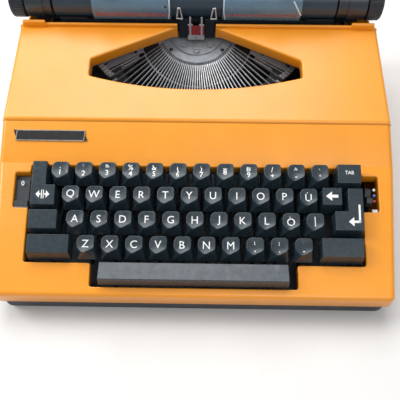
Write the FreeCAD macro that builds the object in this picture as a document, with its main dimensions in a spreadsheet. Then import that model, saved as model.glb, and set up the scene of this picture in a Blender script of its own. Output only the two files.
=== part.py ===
import FreeCAD, Part

import math
import os

# Portable electric typewriter with a sloped four-row keyboard, a fan-shaped type basket,
# a lifting ribbon cover and a carriage that slides on two rails.
# Frame: X to the typist's right, Y to the back, Z up, millimetres. The origin is on the
# table, in the middle of the machine.

Vector = FreeCAD.Vector
Rotation = FreeCAD.Rotation
Placement = FreeCAD.Placement

X_AXIS = Vector(1, 0, 0)
Y_AXIS = Vector(0, 1, 0)
Z_AXIS = Vector(0, 0, 1)

doc = FreeCAD.newDocument("portable_typewriter")
sheet = doc.addObject("Spreadsheet::Sheet", "Sizes")

# ---------------------------------------------------------------- driving dimensions

DRIVING_SIZES = [
    ("key_pitch", 19.05, "centre to centre along a row"),
    ("row_depth", 18.84, "row to row, level"),
    ("row_rise", 6.5, "row to row, upright"),
    ("row4_y", -112.0, "front letter row, centre"),
    ("row4_top", 53.0, "front letter row, height of the cap tops"),
    ("first_key_x", -108.93, "leftmost figure key"),
    ("cap_width", 13.4, "letter cap, top face, left to right"),
    ("cap_depth", 13.0, "letter cap, top face, front to back"),
    ("cap_skirt", 1.75, "how far a cap flares below its top"),
    ("cap_height", 12.5, "letter cap, top to skirt edge"),
    ("cap_tilt", 12.0, "degrees that a cap top leans to the typist"),
    ("key_travel", 5.0, "how far a key goes down"),
    ("lever_thick", 1.4, "key lever sheet"),
    ("fulcrum_y", 40.0, "key lever rod"),
    ("fulcrum_z", 12.5, "key lever rod"),
    ("fulcrum_radius", 3.0, "key lever rod"),
    ("front_y", -147.6, "front lip"),
    ("plate_back_y", -44.0, "where the keyboard plate meets the slanted face"),
    ("crease_y", -10.5, "where the slanted face meets the top cover"),
    ("cover_back_y", 83.8, "rear edge of the top cover"),
    ("rear_y", 147.6, "rear wall"),
    ("front_z", 31.4, "top of the front lip"),
    ("plate_back_z", 64.05, "plate height at its back"),
    ("crease_z", 82.75, "crease height"),
    ("cover_back_z", 98.0, "rear edge height of the top cover"),
    ("shell_bottom", 17.2, "lower edge of the orange shell"),
    ("rear_top", 84.6, "top of the side walls under the carriage"),
    ("base_front", 159.5, "half width at the foot of the shell, front"),
    ("base_plate_back", 166.9, "half width at the foot, at the plate's back"),
    ("base_crease", 165.4, "half width at the foot, at the crease"),
    ("base_cover_back", 164.2, "half width at the foot, at the cover's back"),
    ("base_rear", 163.0, "half width at the foot, rear"),
    ("side_draft", 0.05, "inward lean of the side walls per mm of height"),
    ("wall", 2.5, "shell wall"),
    ("seam_gap", 0.35, "gap round the ribbon cover"),
    ("tray_half_width", 157.5, "base tray"),
    ("tray_bottom", 5.5, "base tray underside"),
    ("tray_corner", 9.0, "base tray corner radius"),
    ("foot_radius", 9.0, "rubber foot"),
    ("print_x", -1.3, "middle of the type basket"),
    ("platen_y", 102.8, "platen axis"),
    ("platen_z", 112.2, "platen axis"),
    ("platen_radius", 16.0, "platen over its rubber"),
    ("platen_left", -127.2, "left end of the rubber"),
    ("platen_right", 120.8, "right end of the rubber"),
    ("shaft_radius", 4.0, "platen shaft"),
    ("knob_radius", 17.0, "platen knob"),
    ("end_radius", 16.3, "carriage end housing"),
    ("basket_y", 99.2, "apex of the type basket's disc"),
    ("basket_z", 82.8, "apex of the type basket's disc"),
    ("basket_tilt", 22.7, "degrees that the basket leans forward"),
    ("cone_drop", 15.5, "degrees that the typebars fall away"),
    ("segment_inner", 35.6, "inner ends of the slots"),
    ("segment_outer", 52.8, "outer edge of the segment"),
    ("bar_pivot", 42.0, "typebar pivot radius"),
    ("bar_end", 94.0, "outer ends of the resting typebars"),
    ("bar_thick", 0.7, "typebar sheet"),
    ("slot_width", 1.05, "segment slot"),
    ("rail_z", 80.0, "underside of the carriage rails"),
    ("rail_height", 9.5, "carriage rail"),
    ("rail_width", 4.0, "carriage rail"),
    ("rail_front_y", 112.0, "front carriage rail"),
    ("rail_back_y", 136.0, "rear carriage rail"),
    ("frame_x", 140.0, "side frame plate, middle"),
    ("spool_radius", 24.0, "ribbon spool flange"),
    ("spool_x", 122.0, "ribbon spool spindle"),
    ("spool_y", 42.0, "ribbon spool spindle"),
    ("roll_y", 60.0, "power roll"),
    ("roll_z", 27.0, "power roll"),
    ("motor_y", 115.0, "motor shaft"),
    ("motor_z", 34.0, "motor shaft"),
    ("running_gap", 0.1, "radial clearance of a pin in its hole"),
]

for number, (alias, value, note) in enumerate(DRIVING_SIZES, start=1):
    sheet.set("A%d" % number, alias)
    sheet.set("B%d" % number, str(value))
    sheet.set("C%d" % number, note)
    sheet.setAlias("B%d" % number, alias)
doc.recompute()

subparts = []


def size(alias):
    """One driving dimension, as a number."""
    return float(sheet.get(alias))


def bind(feature, **properties):
    """Tie properties of a feature to spreadsheet expressions."""
    for name, expression in properties.items():
        feature.setExpression(name, expression)
    return feature


def cell(alias):
    return "Sizes." + alias


def keep(feature, label, placement=None):
    """Name a finished sub-part and list it for writing."""
    feature.Label = label
    if placement is not None:
        feature.Placement = placement
    subparts.append(feature)
    return feature


def keep_shape(label, shape, placement=None):
    """A sub-part whose shape is worked out with Part's own functions."""
    feature = doc.addObject("Part::Feature", label)
    feature.Shape = shape
    own_place = shape.Placement
    return keep(feature, label, placement.multiply(own_place) if placement else own_place)


def at(x_pos, y_pos, z_pos, rotation=None):
    return Placement(Vector(x_pos, y_pos, z_pos), rotation or Rotation())


ALONG_X = Rotation(Y_AXIS, 90)

# ---------------------------------------------------------------- shape helpers


def box_between(x_low, x_high, y_low, y_high, z_low, z_high):
    corner = Vector(x_low, y_low, z_low)
    return Part.makeBox(x_high - x_low, y_high - y_low, z_high - z_low, corner)


def rod_along_x(x_low, x_high, y_pos, z_pos, radius):
    return Part.makeCylinder(radius, x_high - x_low, Vector(x_low, y_pos, z_pos), X_AXIS)


def side_prism(profile, x_low, x_high):
    """A closed outline of (y, z) points, extruded along X."""
    points = [Vector(x_low, y_pos, z_pos) for y_pos, z_pos in profile]
    face = Part.Face(Part.makePolygon(points + points[:1]))
    return face.extrude(Vector(x_high - x_low, 0, 0))


def plan_prism(outline, z_low, z_high):
    """A closed outline of (x, y) points, extruded upwards."""
    points = [Vector(x_pos, y_pos, z_low) for x_pos, y_pos in outline]
    face = Part.Face(Part.makePolygon(points + points[:1]))
    return face.extrude(Vector(0, 0, z_high - z_low))


def polyhedron(lower, upper):
    """A solid with flat faces between two rings of matching points."""
    count = len(lower)
    faces = [Part.Face(Part.makePolygon(ring + ring[:1])) for ring in (lower, upper)]
    for index in range(count):
        after = (index + 1) % count
        quad = [lower[index], lower[after], upper[after], upper[index], lower[index]]
        faces.append(Part.Face(Part.makePolygon(quad)))
    return Part.makeSolid(Part.makeShell(faces))


def ruled_solid(lower, upper):
    """Like polyhedron, for rings whose side faces may be slightly twisted."""
    rings = [Part.makePolygon(ring + ring[:1]) for ring in (lower, upper)]
    return Part.makeLoft(rings, True, True)


def rounded_rectangle(width, depth, radius, centre_y=0.0):
    """A closed wire in the XY plane, centred on X."""
    half_x = width / 2
    half_y = depth / 2
    corners = [(1, 1, 0), (-1, 1, 90), (-1, -1, 180), (1, -1, 270)]
    arcs = []
    for sign_x, sign_y, start in corners:
        centre = Vector(sign_x * (half_x - radius), centre_y + sign_y * (half_y - radius), 0)
        arcs.append(Part.makeCircle(radius, centre, Z_AXIS, start, start + 90))
    edges = []
    for index, arc in enumerate(arcs):
        following = arcs[(index + 1) % 4]
        edges.append(arc)
        edges.append(Part.makeLine(arc.Vertexes[-1].Point, following.Vertexes[0].Point))
    return Part.Wire(edges)


def origin_plane(body, role):
    return next(item for item in body.Origin.OriginFeatures if item.Role == role)


def sketch_on(body, role, name):
    sketch = body.newObject("Sketcher::SketchObject", name)
    sketch.AttachmentSupport = [(origin_plane(body, role), "")]
    sketch.MapMode = "FlatFace"
    return sketch


def draw_polygon(sketch, points):
    """Close a polygon in a sketch and pin each corner."""
    import Sketcher
    count = len(points)
    for index, (first, second) in enumerate(points):
        after = points[(index + 1) % count]
        line = Part.LineSegment(Vector(first, second, 0), Vector(after[0], after[1], 0))
        sketch.addGeometry(line, False)
    for index in range(count):
        sketch.addConstraint(Sketcher.Constraint("Coincident", index, 2, (index + 1) % count, 1))


def padded_body(label, role, points, length_expression, placement=None):
    """A PartDesign body: one polygon sketch, padded."""
    body = doc.addObject("PartDesign::Body", label)
    sketch = sketch_on(body, role, label + "_outline")
    draw_polygon(sketch, points)
    pad = body.newObject("PartDesign::Pad", label + "_pad")
    pad.Profile = sketch
    pad.setExpression("Length", length_expression)
    body.Tip = pad
    return keep(body, label, placement)


# ---------------------------------------------------------------- shell geometry

PLATE_SLOPE = (size("plate_back_z") - size("front_z")) / (size("plate_back_y") - size("front_y"))
FACE_SLOPE = (size("crease_z") - size("plate_back_z")) / (size("crease_y") - size("plate_back_y"))
COVER_SLOPE = (size("cover_back_z") - size("crease_z")) / (size("cover_back_y") - size("crease_y"))


def plate_height(y_pos):
    return size("front_z") + PLATE_SLOPE * (y_pos - size("front_y"))


def face_height(y_pos):
    return size("plate_back_z") + FACE_SLOPE * (y_pos - size("plate_back_y"))


def cover_height(y_pos):
    return size("crease_z") + COVER_SLOPE * (y_pos - size("crease_y"))


def side_taper(inset, z_low, z_high):
    """The plan outline of the machine, leaning inwards as it rises."""
    stations = [
        (size("front_y"), size("base_front")),
        (size("plate_back_y"), size("base_plate_back")),
        (size("crease_y"), size("base_crease")),
        (size("cover_back_y"), size("base_cover_back")),
        (size("rear_y"), size("base_rear")),
    ]
    rings = []
    for z_pos in (z_low, z_high):
        lean = size("side_draft") * (z_pos - size("shell_bottom")) + inset
        right = [Vector(half - lean, y_pos, z_pos) for y_pos, half in stations]
        left = [Vector(lean - half, y_pos, z_pos) for y_pos, half in reversed(stations)]
        rings.append(right + left)
    return polyhedron(rings[0], rings[1])


def seam_points(shift):
    """The parting line of the ribbon cover, from the slanted face to the rear."""
    seam_y = size("crease_y") - 3.0
    points = [
        (seam_y - 1.5, face_height(seam_y) + 2.6),
        (seam_y + 2.0, face_height(seam_y) - 3.5),
        (seam_y + 7.5, face_height(seam_y) - 11.0),
        (size("cover_back_y") + 4.0, size("rear_top") + 1.0),
    ]
    return [(y_pos + shift, z_pos + shift) for y_pos, z_pos in points]


def above_seam(shift, rear_limit):
    return seam_points(shift) + [(rear_limit, 130.0), (size("crease_y") - 4.5 + shift, 130.0)]


def fillet_edges(solid, radius, wanted):
    edges = [edge for edge in solid.Edges if wanted(edge)]
    return solid.makeFillet(radius, edges)


def edge_is_at(y_pos, z_pos):
    """True for the straight edge along X at this place."""
    def wanted(edge):
        middle = edge.CenterOfMass
        ends = edge.Vertexes
        level = abs(ends[0].Point.y - ends[-1].Point.y) < 0.01
        return level and abs(middle.y - y_pos) < 0.3 and abs(middle.z - z_pos) < 0.3
    return wanted


def outer_block(top_profile):
    """The casing's outside: a side profile cut to the leaning plan outline."""
    profile = side_prism(top_profile, -180, 180)
    return profile.common(side_taper(0.0, size("shell_bottom"), 130.0))


# ---------------------------------------------------------------- casing


def well_outline(grow):
    """The cut-out round the keys, the space bar and the two side switches."""
    left, right = -136.3 - grow, 137.0 + grow
    bar = 82.5 + grow
    row_front = -122.4 - grow
    bar_front = -140.4 - grow
    back = -45.6 + grow
    window_left, window_right = -149.0 - grow, 150.3 + grow
    window_front, window_back = -80.2 - grow, -51.6 + grow
    return [
        (-bar, bar_front), (bar, bar_front), (bar, row_front), (right, row_front),
        (right, window_front), (window_right, window_front), (window_right, window_back),
        (right, window_back), (right, back), (left, back), (left, window_back),
        (window_left, window_back), (window_left, window_front), (left, window_front),
        (left, row_front), (-bar, row_front),
    ]


def body_shell():
    """The orange keyboard plate, slanted face, side walls and rear wall, in one piece."""
    bottom = size("shell_bottom")
    front = size("front_y")
    rear = size("rear_y")
    wall = size("wall")
    outside = outer_block([
        (front, bottom), (front, size("front_z")), (size("plate_back_y"), size("plate_back_z")),
        (size("crease_y"), size("crease_z")), (size("cover_back_y"), size("cover_back_z")),
        (rear, size("cover_back_z")), (rear, bottom),
    ])
    outside = fillet_edges(outside, 3.0, edge_is_at(front, size("front_z")))
    outside = outside.cut(side_prism(above_seam(0.0, rear + 40), -180, 180))
    rear_space = [(size("cover_back_y") + 3.9, size("rear_top")), (rear + 20, size("rear_top")),
                  (rear + 20, 140), (size("cover_back_y") + 3.9, 140)]
    outside = outside.cut(side_prism(rear_space, -180, 180))
    plate_drop = wall * math.hypot(1, PLATE_SLOPE)
    face_drop = wall * math.hypot(1, FACE_SLOPE)
    meet_y = size("plate_back_y") + (face_drop - plate_drop) / (FACE_SLOPE - PLATE_SLOPE)
    ledge_y = size("crease_y") + 1.5
    cavity_profile = [
        (front + wall, bottom - 1), (front + wall, plate_height(front + wall) - plate_drop),
        (meet_y, plate_height(meet_y) - plate_drop), (ledge_y, face_height(ledge_y) - face_drop - 4.0),
        (ledge_y, 140.0), (rear - wall, 140.0), (rear - wall, bottom - 1),
    ]
    cavity = side_prism(cavity_profile, -180, 180)
    cavity = cavity.common(side_taper(wall, bottom - 1, 141.0))
    foot = outside.common(box_between(-180, 180, front, rear, bottom, bottom + 2.0))
    foot = foot.cut(box_between(-154.0, 154.0, front - 1, rear - 7.2, bottom - 1, bottom + 3))
    shell = outside.cut(cavity).fuse(foot)
    flange = plan_prism(well_outline(2.0), bottom + 2, 75).cut(plan_prism(well_outline(0.0), 0, 90))
    under_plate = side_prism([
        (front, plate_height(front) - 8.0), (front, plate_height(front) - 1.0),
        (size("plate_back_y"), plate_height(size("plate_back_y")) - 1.0),
        (size("plate_back_y"), plate_height(size("plate_back_y")) - 8.0),
    ], -180, 180)
    shell = shell.fuse(flange.common(under_plate))
    shell = shell.cut(plan_prism(well_outline(0.0), 20, 90))
    inlet_hole = box_between(88.8, 115.2, rear - 4, rear + 1, 24.8, 45.2)
    return keep_shape("body_shell", shell.cut(inlet_hole))


def cover_opening(grow):
    """The fan-shaped opening over the type basket, with its slot to the rear edge."""
    centre = size("print_x")
    slot = 17.0 + grow
    rear = size("cover_back_y") + 10
    shoulder_y = 82.4 - grow * 0.6
    corner = Vector(92.0 + grow, 48.2 + grow * 0.4, 0)
    tip = Vector(92.2 + grow, 31.2 - grow * 0.3, 0)
    front_y = 18.6 - grow
    half = [Vector(slot, rear, 0), Vector(slot, shoulder_y, 0), corner, tip]
    right = [point + Vector(centre, 0, 0) for point in half]
    left = [Vector(centre - point.x, point.y, 0) for point in reversed(half)]
    edges = [Part.makeLine(right[index], right[index + 1]) for index in range(3)]
    middle = Vector(centre, front_y, 0)
    edges.append(Part.Arc(right[3], middle, left[0]).toShape())
    edges += [Part.makeLine(left[index], left[index + 1]) for index in range(3)]
    edges.append(Part.makeLine(left[3], right[0]))
    return Part.Face(Part.Wire(edges))


def ribbon_cover():
    """The lifting top cover, with turned-down edges round the opening and two rear ears."""
    bottom = size("shell_bottom")
    wall = size("wall")
    back = size("cover_back_y")
    outside = outer_block([
        (size("plate_back_y"), bottom), (size("plate_back_y"), size("plate_back_z")),
        (size("crease_y"), size("crease_z")), (back, size("cover_back_z")), (back, bottom),
    ])
    outside = fillet_edges(outside, 3.0, edge_is_at(size("crease_y"), size("crease_z")))
    outside = outside.common(side_prism(above_seam(size("seam_gap"), back + 10), -180, 180))
    drop = wall * math.hypot(1, COVER_SLOPE)
    cavity_profile = [
        (size("crease_y") + 0.8, 50), (size("crease_y") + 0.8, cover_height(size("crease_y") + 0.8) - drop),
        (back - wall, cover_height(back - wall) - drop), (back - wall, 50),
    ]
    cavity = side_prism(cavity_profile, -180, 180).common(side_taper(wall, 40, 141.0))
    cover = outside.cut(cavity)
    slab = side_prism([
        (-5, cover_height(-5) - 9.5), (-5, cover_height(-5) - 1.2),
        (back, cover_height(back) - 1.2), (back, cover_height(back) - 9.5),
    ], -140, 140)
    outer_face = cover_opening(2.2)
    inner_face = cover_opening(0.0)
    ring = outer_face.extrude(Vector(0, 0, 120)).cut(inner_face.extrude(Vector(0, 0, 120)))
    cover = cover.fuse(ring.common(slab))
    rim = side_prism([(back - 2.2, cover_height(back) - 3), (back - 2.6, cover_height(back) + 2.4),
                      (back, cover_height(back) + 3.0), (back, cover_height(back) - 3)], -157.5, 157.5)
    cover = cover.fuse(rim)
    for side in (-1, 1):
        ear = side_prism([(back - 2.4, cover_height(back)), (back - 3.0, cover_height(back) + 5.6),
                          (back, cover_height(back) + 6.0), (back, cover_height(back))], 0, 20.5)
        ear.translate(Vector(146.5 * side - 10.25, 0, 0))
        knuckle = rod_along_x(146.5 * side - 10.25, 146.5 * side + 10.25, back + 0.4, cover_height(back) + 3.0, 1.9)
        cover = cover.fuse([ear, knuckle])
    cover = cover.cut(inner_face.extrude(Vector(0, 0, 140)))
    return keep_shape("ribbon_cover", cover.removeSplitter())


def base_tray():
    """The black tray under the orange shell: a shallow open pan."""
    half = size("tray_half_width")
    front = size("front_y") + 0.4
    rear = size("rear_y") - 0.5
    body = doc.addObject("PartDesign::Body", "base_tray")
    outline = sketch_on(body, "XY_Plane", "tray_outline")
    draw_polygon(outline, [(-half, front), (half, front), (half, rear), (-half, rear)])
    pad = body.newObject("PartDesign::Pad", "tray_block")
    pad.Profile = outline
    bind(pad, Length="Sizes.shell_bottom - Sizes.tray_bottom - 0.2")
    doc.recompute()
    corners = ["Edge%d" % (index + 1) for index, edge in enumerate(pad.Shape.Edges)
               if abs(edge.Vertexes[0].Point.z - edge.Vertexes[1].Point.z) > 5]
    rounding = body.newObject("PartDesign::Fillet", "tray_corners")
    rounding.Base = (pad, corners)
    bind(rounding, Radius=cell("tray_corner"))
    doc.recompute()
    inside = sketch_on(body, "XY_Plane", "tray_inside")
    edge = size("wall")
    inner = half - edge
    draw_polygon(inside, [(-inner, front + edge + 4), (-inner + 4, front + edge), (inner - 4, front + edge),
                          (inner, front + edge + 4), (inner, rear - edge - 4), (inner - 4, rear - edge),
                          (-inner + 4, rear - edge), (-inner, rear - edge - 4)])
    inside.AttachmentOffset = at(0, 0, 2.0)
    pocket = body.newObject("PartDesign::Pocket", "tray_hollow")
    pocket.Profile = inside
    pocket.Reversed = True
    bind(pocket, Length="Sizes.shell_bottom")
    body.Tip = pocket
    doc.recompute()
    assert pocket.Shape.Volume < 0.5 * pad.Shape.Volume, "the tray is not hollow"
    return keep(body, "base_tray", at(0, 0, size("tray_bottom")))


def rubber_feet():
    """Four round feet under the tray, kept as one group."""
    feet = []
    for x_pos in (-130, 130):
        for y_pos in (-122, 122):
            foot = doc.addObject("Part::Cone", "rubber_foot")
            bind(foot, Radius1=cell("foot_radius") + " - 1.2", Radius2=cell("foot_radius"),
                 Height=cell("tray_bottom"))
            foot.Placement = at(x_pos, y_pos, 0)
            feet.append(foot)
    group = doc.addObject("Part::Compound", "rubber_feet")
    group.Links = feet
    return keep(group, "rubber_feet")


def badge_plate():
    """A blank slanted plate on the slanted face."""
    half_long, half_tall, lean = 29.3, 4.3, 1.5
    outline = [(-half_long - lean, half_tall), (half_long - lean, half_tall),
               (half_long + lean, -half_tall), (-half_long + lean, -half_tall)]
    middle_y = -23.9
    tilt = math.degrees(math.atan(FACE_SLOPE))
    rotation = Rotation(X_AXIS, tilt)
    lift = rotation.multVec(Vector(0, 0, 0.03))
    place = at(-121.0, middle_y + lift.y, face_height(middle_y) + lift.z, rotation)
    return padded_body("badge_plate", "XY_Plane", outline, "0.9", place)


# ---------------------------------------------------------------- chassis


SELECTOR_PIVOT = (-66.5, 30.0)


def frame_sides():
    """Two steel plates that carry the rods, bars and rails."""
    rod = (size("fulcrum_y"), size("fulcrum_z"))
    roll = (size("roll_y"), size("roll_z"))
    floor = size("tray_bottom") + 2.1
    profile = [(-34, floor), (140, floor), (140, size("rail_z")), (100, size("rail_z")), (92, 60),
               (-20, 58), (-34, 42)]
    for side, label in ((-1, "frame_side_left"), (1, "frame_side_right")):
        x_mid = side * size("frame_x")
        plate = side_prism(profile, x_mid - 1, x_mid + 1)
        for y_pos, z_pos, radius in (rod + (size("fulcrum_radius") + 0.02,), roll + (4.1,)):
            plate = plate.cut(rod_along_x(x_mid - 3, x_mid + 3, y_pos, z_pos, radius))
        for y_low, z_low in ((0, 26), (86, 16)):
            window = box_between(x_mid - 3, x_mid + 3, y_low, y_low + 30, z_low, z_low + 22)
            plate = plate.cut(window)
        if side > 0:
            arm = side_prism([(-72, 26.5), (-33, 26.5), (-33, 40), (-72, 33.5)], x_mid - 1, x_mid + 1)
            pin = rod_along_x(x_mid, x_mid + 4.3, SELECTOR_PIVOT[0], SELECTOR_PIVOT[1], 2.0)
            plate = plate.fuse([arm, pin])
        keep_shape(label, plate)


def frame_cross_bars():
    """Flat bars between the side plates."""
    reach = size("frame_x") - 1.02
    bars = []
    for y_pos, z_pos in ((-28.0, 34.0), (106.0, 59.0), (132.0, 62.0)):
        bar = doc.addObject("Part::Box", "cross_bar")
        bind(bar, Length="2 * (Sizes.frame_x - 1.02)", Width="8", Height="3")
        bar.Placement = at(-reach, y_pos - 4, z_pos - 1.5)
        bars.append(bar)
    group = doc.addObject("Part::Compound", "frame_cross_bars")
    group.Links = bars
    return keep(group, "frame_cross_bars")


def lever_fulcrum_rod():
    rod = doc.addObject("Part::Cylinder", "lever_fulcrum_rod")
    bind(rod, Radius=cell("fulcrum_radius"), Height="2 * (Sizes.frame_x + 2)")
    place = at(-size("frame_x") - 2, size("fulcrum_y"), size("fulcrum_z"), ALONG_X)
    return keep(rod, "lever_fulcrum_rod", place)


def carriage_rails():
    rails = []
    for alias in ("rail_front_y", "rail_back_y"):
        rail = doc.addObject("Part::Box", "rail")
        bind(rail, Length="2 * (Sizes.frame_x + 1)", Width=cell("rail_width"), Height=cell("rail_height"))
        rail.Placement = at(-size("frame_x") - 1, size(alias) - size("rail_width") / 2, size("rail_z"))
        rails.append(rail)
    group = doc.addObject("Part::Compound", "carriage_rails")
    group.Links = rails
    return keep(group, "carriage_rails")


# ---------------------------------------------------------------- keys

ROW_STARTS = {1: 0.0, 2: 0.5, 3: 0.75, 4: 1.25}
ROW_COUNTS = {1: 12, 2: 11, 3: 11, 4: 10}
SOLO_ROW, SOLO_INDEX = 3, 5


def row_place(row):
    """Centre line and top height of a row of keys."""
    steps = 4 - row
    y_pos = size("row4_y") + steps * size("row_depth")
    z_pos = size("row4_top") + steps * size("row_rise")
    return y_pos, z_pos


def key_x(row, index):
    return size("first_key_x") + (ROW_STARTS[row] + index) * size("key_pitch")


def letter_cap(x_pos, y_pos, z_top):
    """A tapering cap with a shallow dish in its leaning top."""
    width, depth, flare = size("cap_width"), size("cap_depth"), size("cap_skirt")
    top = rounded_rectangle(width, depth, 3.6)
    top.rotate(Vector(), X_AXIS, size("cap_tilt"))
    bottom = rounded_rectangle(width + 2 * flare, depth + 2 * flare - 0.4, 2.0, -0.2)
    bottom.translate(Vector(0, 0, -size("cap_height")))
    cap = Part.makeLoft([bottom, top], True, True)
    dish_radius = 26.0
    ball = Part.makeSphere(dish_radius, Vector(0, -1.0 - dish_radius * math.sin(math.radians(12)),
                                               dish_radius * math.cos(math.radians(12)) - 0.9))
    cap = cap.cut(ball)
    cap.translate(Vector(x_pos, y_pos, z_top))
    return cap


def key_lever(x_pos, y_key, z_cap):
    """A sheet lever from the fulcrum rod to the key, with its upright stem."""
    half = size("lever_thick") / 2
    y_rod, z_rod = size("fulcrum_y"), size("fulcrum_z")
    front_z = 16.0
    profile = [(y_rod, z_rod - 2.6), (y_key - 2.2, front_z - 0.5), (y_key - 2.2, z_cap),
               (y_key + 2.2, z_cap), (y_key + 2.2, front_z + 4.5), (y_rod, z_rod + 2.6)]
    lever = side_prism(profile, x_pos - half, x_pos + half)
    eye = rod_along_x(x_pos - half, x_pos + half, y_rod, z_rod, 4.2)
    hole = rod_along_x(x_pos - 2, x_pos + 2, y_rod, z_rod, size("fulcrum_radius") + size("running_gap"))
    return lever.fuse(eye).cut(hole)


def letter_key(row, index):
    y_pos, z_top = row_place(row)
    x_pos = key_x(row, index)
    cap = letter_cap(x_pos, y_pos, z_top)
    lever = key_lever(x_pos, y_pos, z_top - size("cap_height") + 1.0)
    return cap.fuse(lever)


def letter_rows():
    """Four rows of keys on levers; one key of the home row stands alone."""
    for row, count in ROW_COUNTS.items():
        keys = [letter_key(row, index) for index in range(count)
                if (row, index) != (SOLO_ROW, SOLO_INDEX)]
        keep_shape("keys_row_%d" % row, Part.makeCompound(keys))
    keep_shape("key_h", letter_key(SOLO_ROW, SOLO_INDEX))


def keyboard_slope_height(y_pos):
    """Height of the cap tops along the keyboard's slope."""
    slope = size("row_rise") / size("row_depth")
    return size("row4_top") + slope * (y_pos - size("row4_y"))


def block_cap(outline, flare, height, level=None):
    """A flat-topped cap with straight sloping sides, from its top outline seen from above."""
    count = len(outline)
    area = sum(outline[i - 1][0] * outline[i][1] - outline[i][0] * outline[i - 1][1] for i in range(count))
    turn = 1 if area > 0 else -1
    skirts = []
    for index, (x_pos, y_pos) in enumerate(outline):
        before = outline[index - 1]
        after = outline[(index + 1) % count]
        shift = Vector()
        for start, end in ((before, (x_pos, y_pos)), ((x_pos, y_pos), after)):
            run = Vector(end[0] - start[0], end[1] - start[1], 0)
            run.normalize()
            shift += Vector(run.y, -run.x, 0) * turn
        skirts.append((x_pos + shift.x * flare, y_pos + shift.y * flare))
    top = [Vector(x_pos, y_pos, level or keyboard_slope_height(y_pos)) for x_pos, y_pos in outline]
    lower = [Vector(x_pos, y_pos, (level or keyboard_slope_height(y_pos)) - height)
             for x_pos, y_pos in skirts]
    return ruled_solid(lower, top)


def rectangle(x_low, x_high, y_low, y_high):
    return [(x_low, y_low), (x_high, y_low), (x_high, y_high), (x_low, y_high)]


def special_keys():
    """The wide and L-shaped keys round the letter block."""
    row_y = {row: row_place(row)[0] for row in ROW_COUNTS}
    margin_outline = [(-131.2, -83.0), (-112.2, -83.0), (-112.2, -67.6), (-119.8, -67.6),
                      (-119.8, -49.2), (-131.2, -49.2)]
    return_outline = [(111.6, -99.6), (134.0, -99.6), (134.0, -67.6), (122.4, -67.6),
                      (122.4, -85.2), (111.6, -85.2)]
    shapes = {
        "margin_release_key": (margin_outline, -127.0, row_y[2]),
        "tab_key": (rectangle(114.8, 133.4, -63.4, -49.0), 117.5, row_y[1]),
        "backspace_key": (rectangle(102.2, 117.4, -80.4, -67.4), 106.5, row_y[2]),
        "return_key": (return_outline, 125.0, row_y[3]),
        "shift_lock_key": (rectangle(-131.8, -109.2, -101.2, -86.8), -122.5, row_y[3]),
    }
    for label, (outline, lever_x, lever_y) in shapes.items():
        cap = block_cap(outline, 1.1, 12.5)
        foot = keyboard_slope_height(lever_y) - 11.0
        keep_shape(label, cap.fuse(key_lever(lever_x, lever_y, foot)))


def shift_keys():
    """Left and right shift keys, joined behind the fulcrum by one bail."""
    y_pos, z_top = row_place(4)
    bail_y = size("fulcrum_y") + 8.0
    solids = []
    for x_low, x_high, lever_x in ((-131.6, -98.6, -118.0), (100.6, 133.2, 129.5)):
        cap = block_cap(rectangle(x_low, x_high, -119.4, -105.6), 1.1, 12.5)
        arm = box_between(lever_x - 0.7, lever_x + 0.7, size("fulcrum_y") + 3.4, bail_y,
                          size("fulcrum_z") - 1.5, size("fulcrum_z") + 1.5)
        solids.append(cap.fuse([key_lever(lever_x, y_pos, z_top - 11.5), arm]))
    bail = rod_along_x(-118.7, 130.2, bail_y, size("fulcrum_z"), 2.0)
    return keep_shape("shift_keys", solids[0].fuse([solids[1], bail]))


def space_bar():
    """The long bar on two arms that run between the letter levers."""
    cap = block_cap(rectangle(-74.4, 74.4, -138.6, -124.2), 0.9, 10.5, 45.0)
    solids = [cap]
    for step in (9.5, 35.5):
        arm_x = size("first_key_x") + step * size("key_pitch") / 4
        solids.append(key_lever(arm_x, -131.0, 35.5))
    return keep_shape("space_bar", solids[0].fuse(solids[1:]))


def plate_frame(x_pos, y_pos, depth):
    """A place under the keyboard plate, turned to lie along it."""
    rotation = Rotation(X_AXIS, math.degrees(math.atan(PLATE_SLOPE)))
    down = rotation.multVec(Vector(0, 0, -depth))
    return at(x_pos, y_pos + down.y, plate_height(y_pos) + down.z, rotation)


def power_switch():
    """The on and off slider: a dark plate with a bright grip bar at its lower end."""
    slide_plate = box_between(-5.4, 5.4, -10.5, 9.5, -1.6, 0)
    grip = box_between(-5.4, 5.4, -13.0, -8.5, -1.6, 2.6)
    place = plate_frame(-142.6, -66.5, 3.2)
    return keep_shape("power_switch", slide_plate.fuse(grip), place)


def switch_housing():
    """The dark tray under the switch window that the slider runs on."""
    floor = box_between(-6.2, 6.2, -15.2, 13.2, -1.4, 0)
    walls = [box_between(x_low, x_low + 0.5, -15.2, 13.2, -0.5, 1.4) for x_low in (-6.2, 5.7)]
    place = plate_frame(-142.6, -66.5, 5.2)
    return keep_shape("switch_housing", floor.fuse(walls), place)


def ribbon_selector():
    """A rocking lever in the right-hand window, turning on a pin below the plate."""
    pivot_y, pivot_z = SELECTOR_PIVOT
    x_low, x_high = 139.6, 144.2
    head = side_prism([(-74.5, 50.5), (-59.5, 55.3), (-62.5, 57.5), (-66.5, 53.9), (-71.0, 58.6),
                       (-74.0, 56.5)], x_low, x_high)
    arm = box_between(141.6, 143.2, pivot_y - 2.0, pivot_y + 2.0, pivot_z, 53.0)
    eye = rod_along_x(141.5, 143.6, pivot_y, pivot_z, 3.9)
    hole = rod_along_x(x_low, x_high, pivot_y, pivot_z, 2.0 + size("running_gap"))
    return keep_shape("ribbon_selector", head.fuse([arm, eye]).cut(hole))


# ---------------------------------------------------------------- type basket

CONE = math.tan(math.radians(size("cone_drop")))
BAR_COUNT = 44
SOLO_BAR = 22


def basket_place():
    """The basket's own frame: -Y to the typist and Z along the axis of the fan."""
    rotation = Rotation(X_AXIS, size("basket_tilt"))
    return at(size("print_x"), size("basket_y"), size("basket_z"), rotation)


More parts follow.
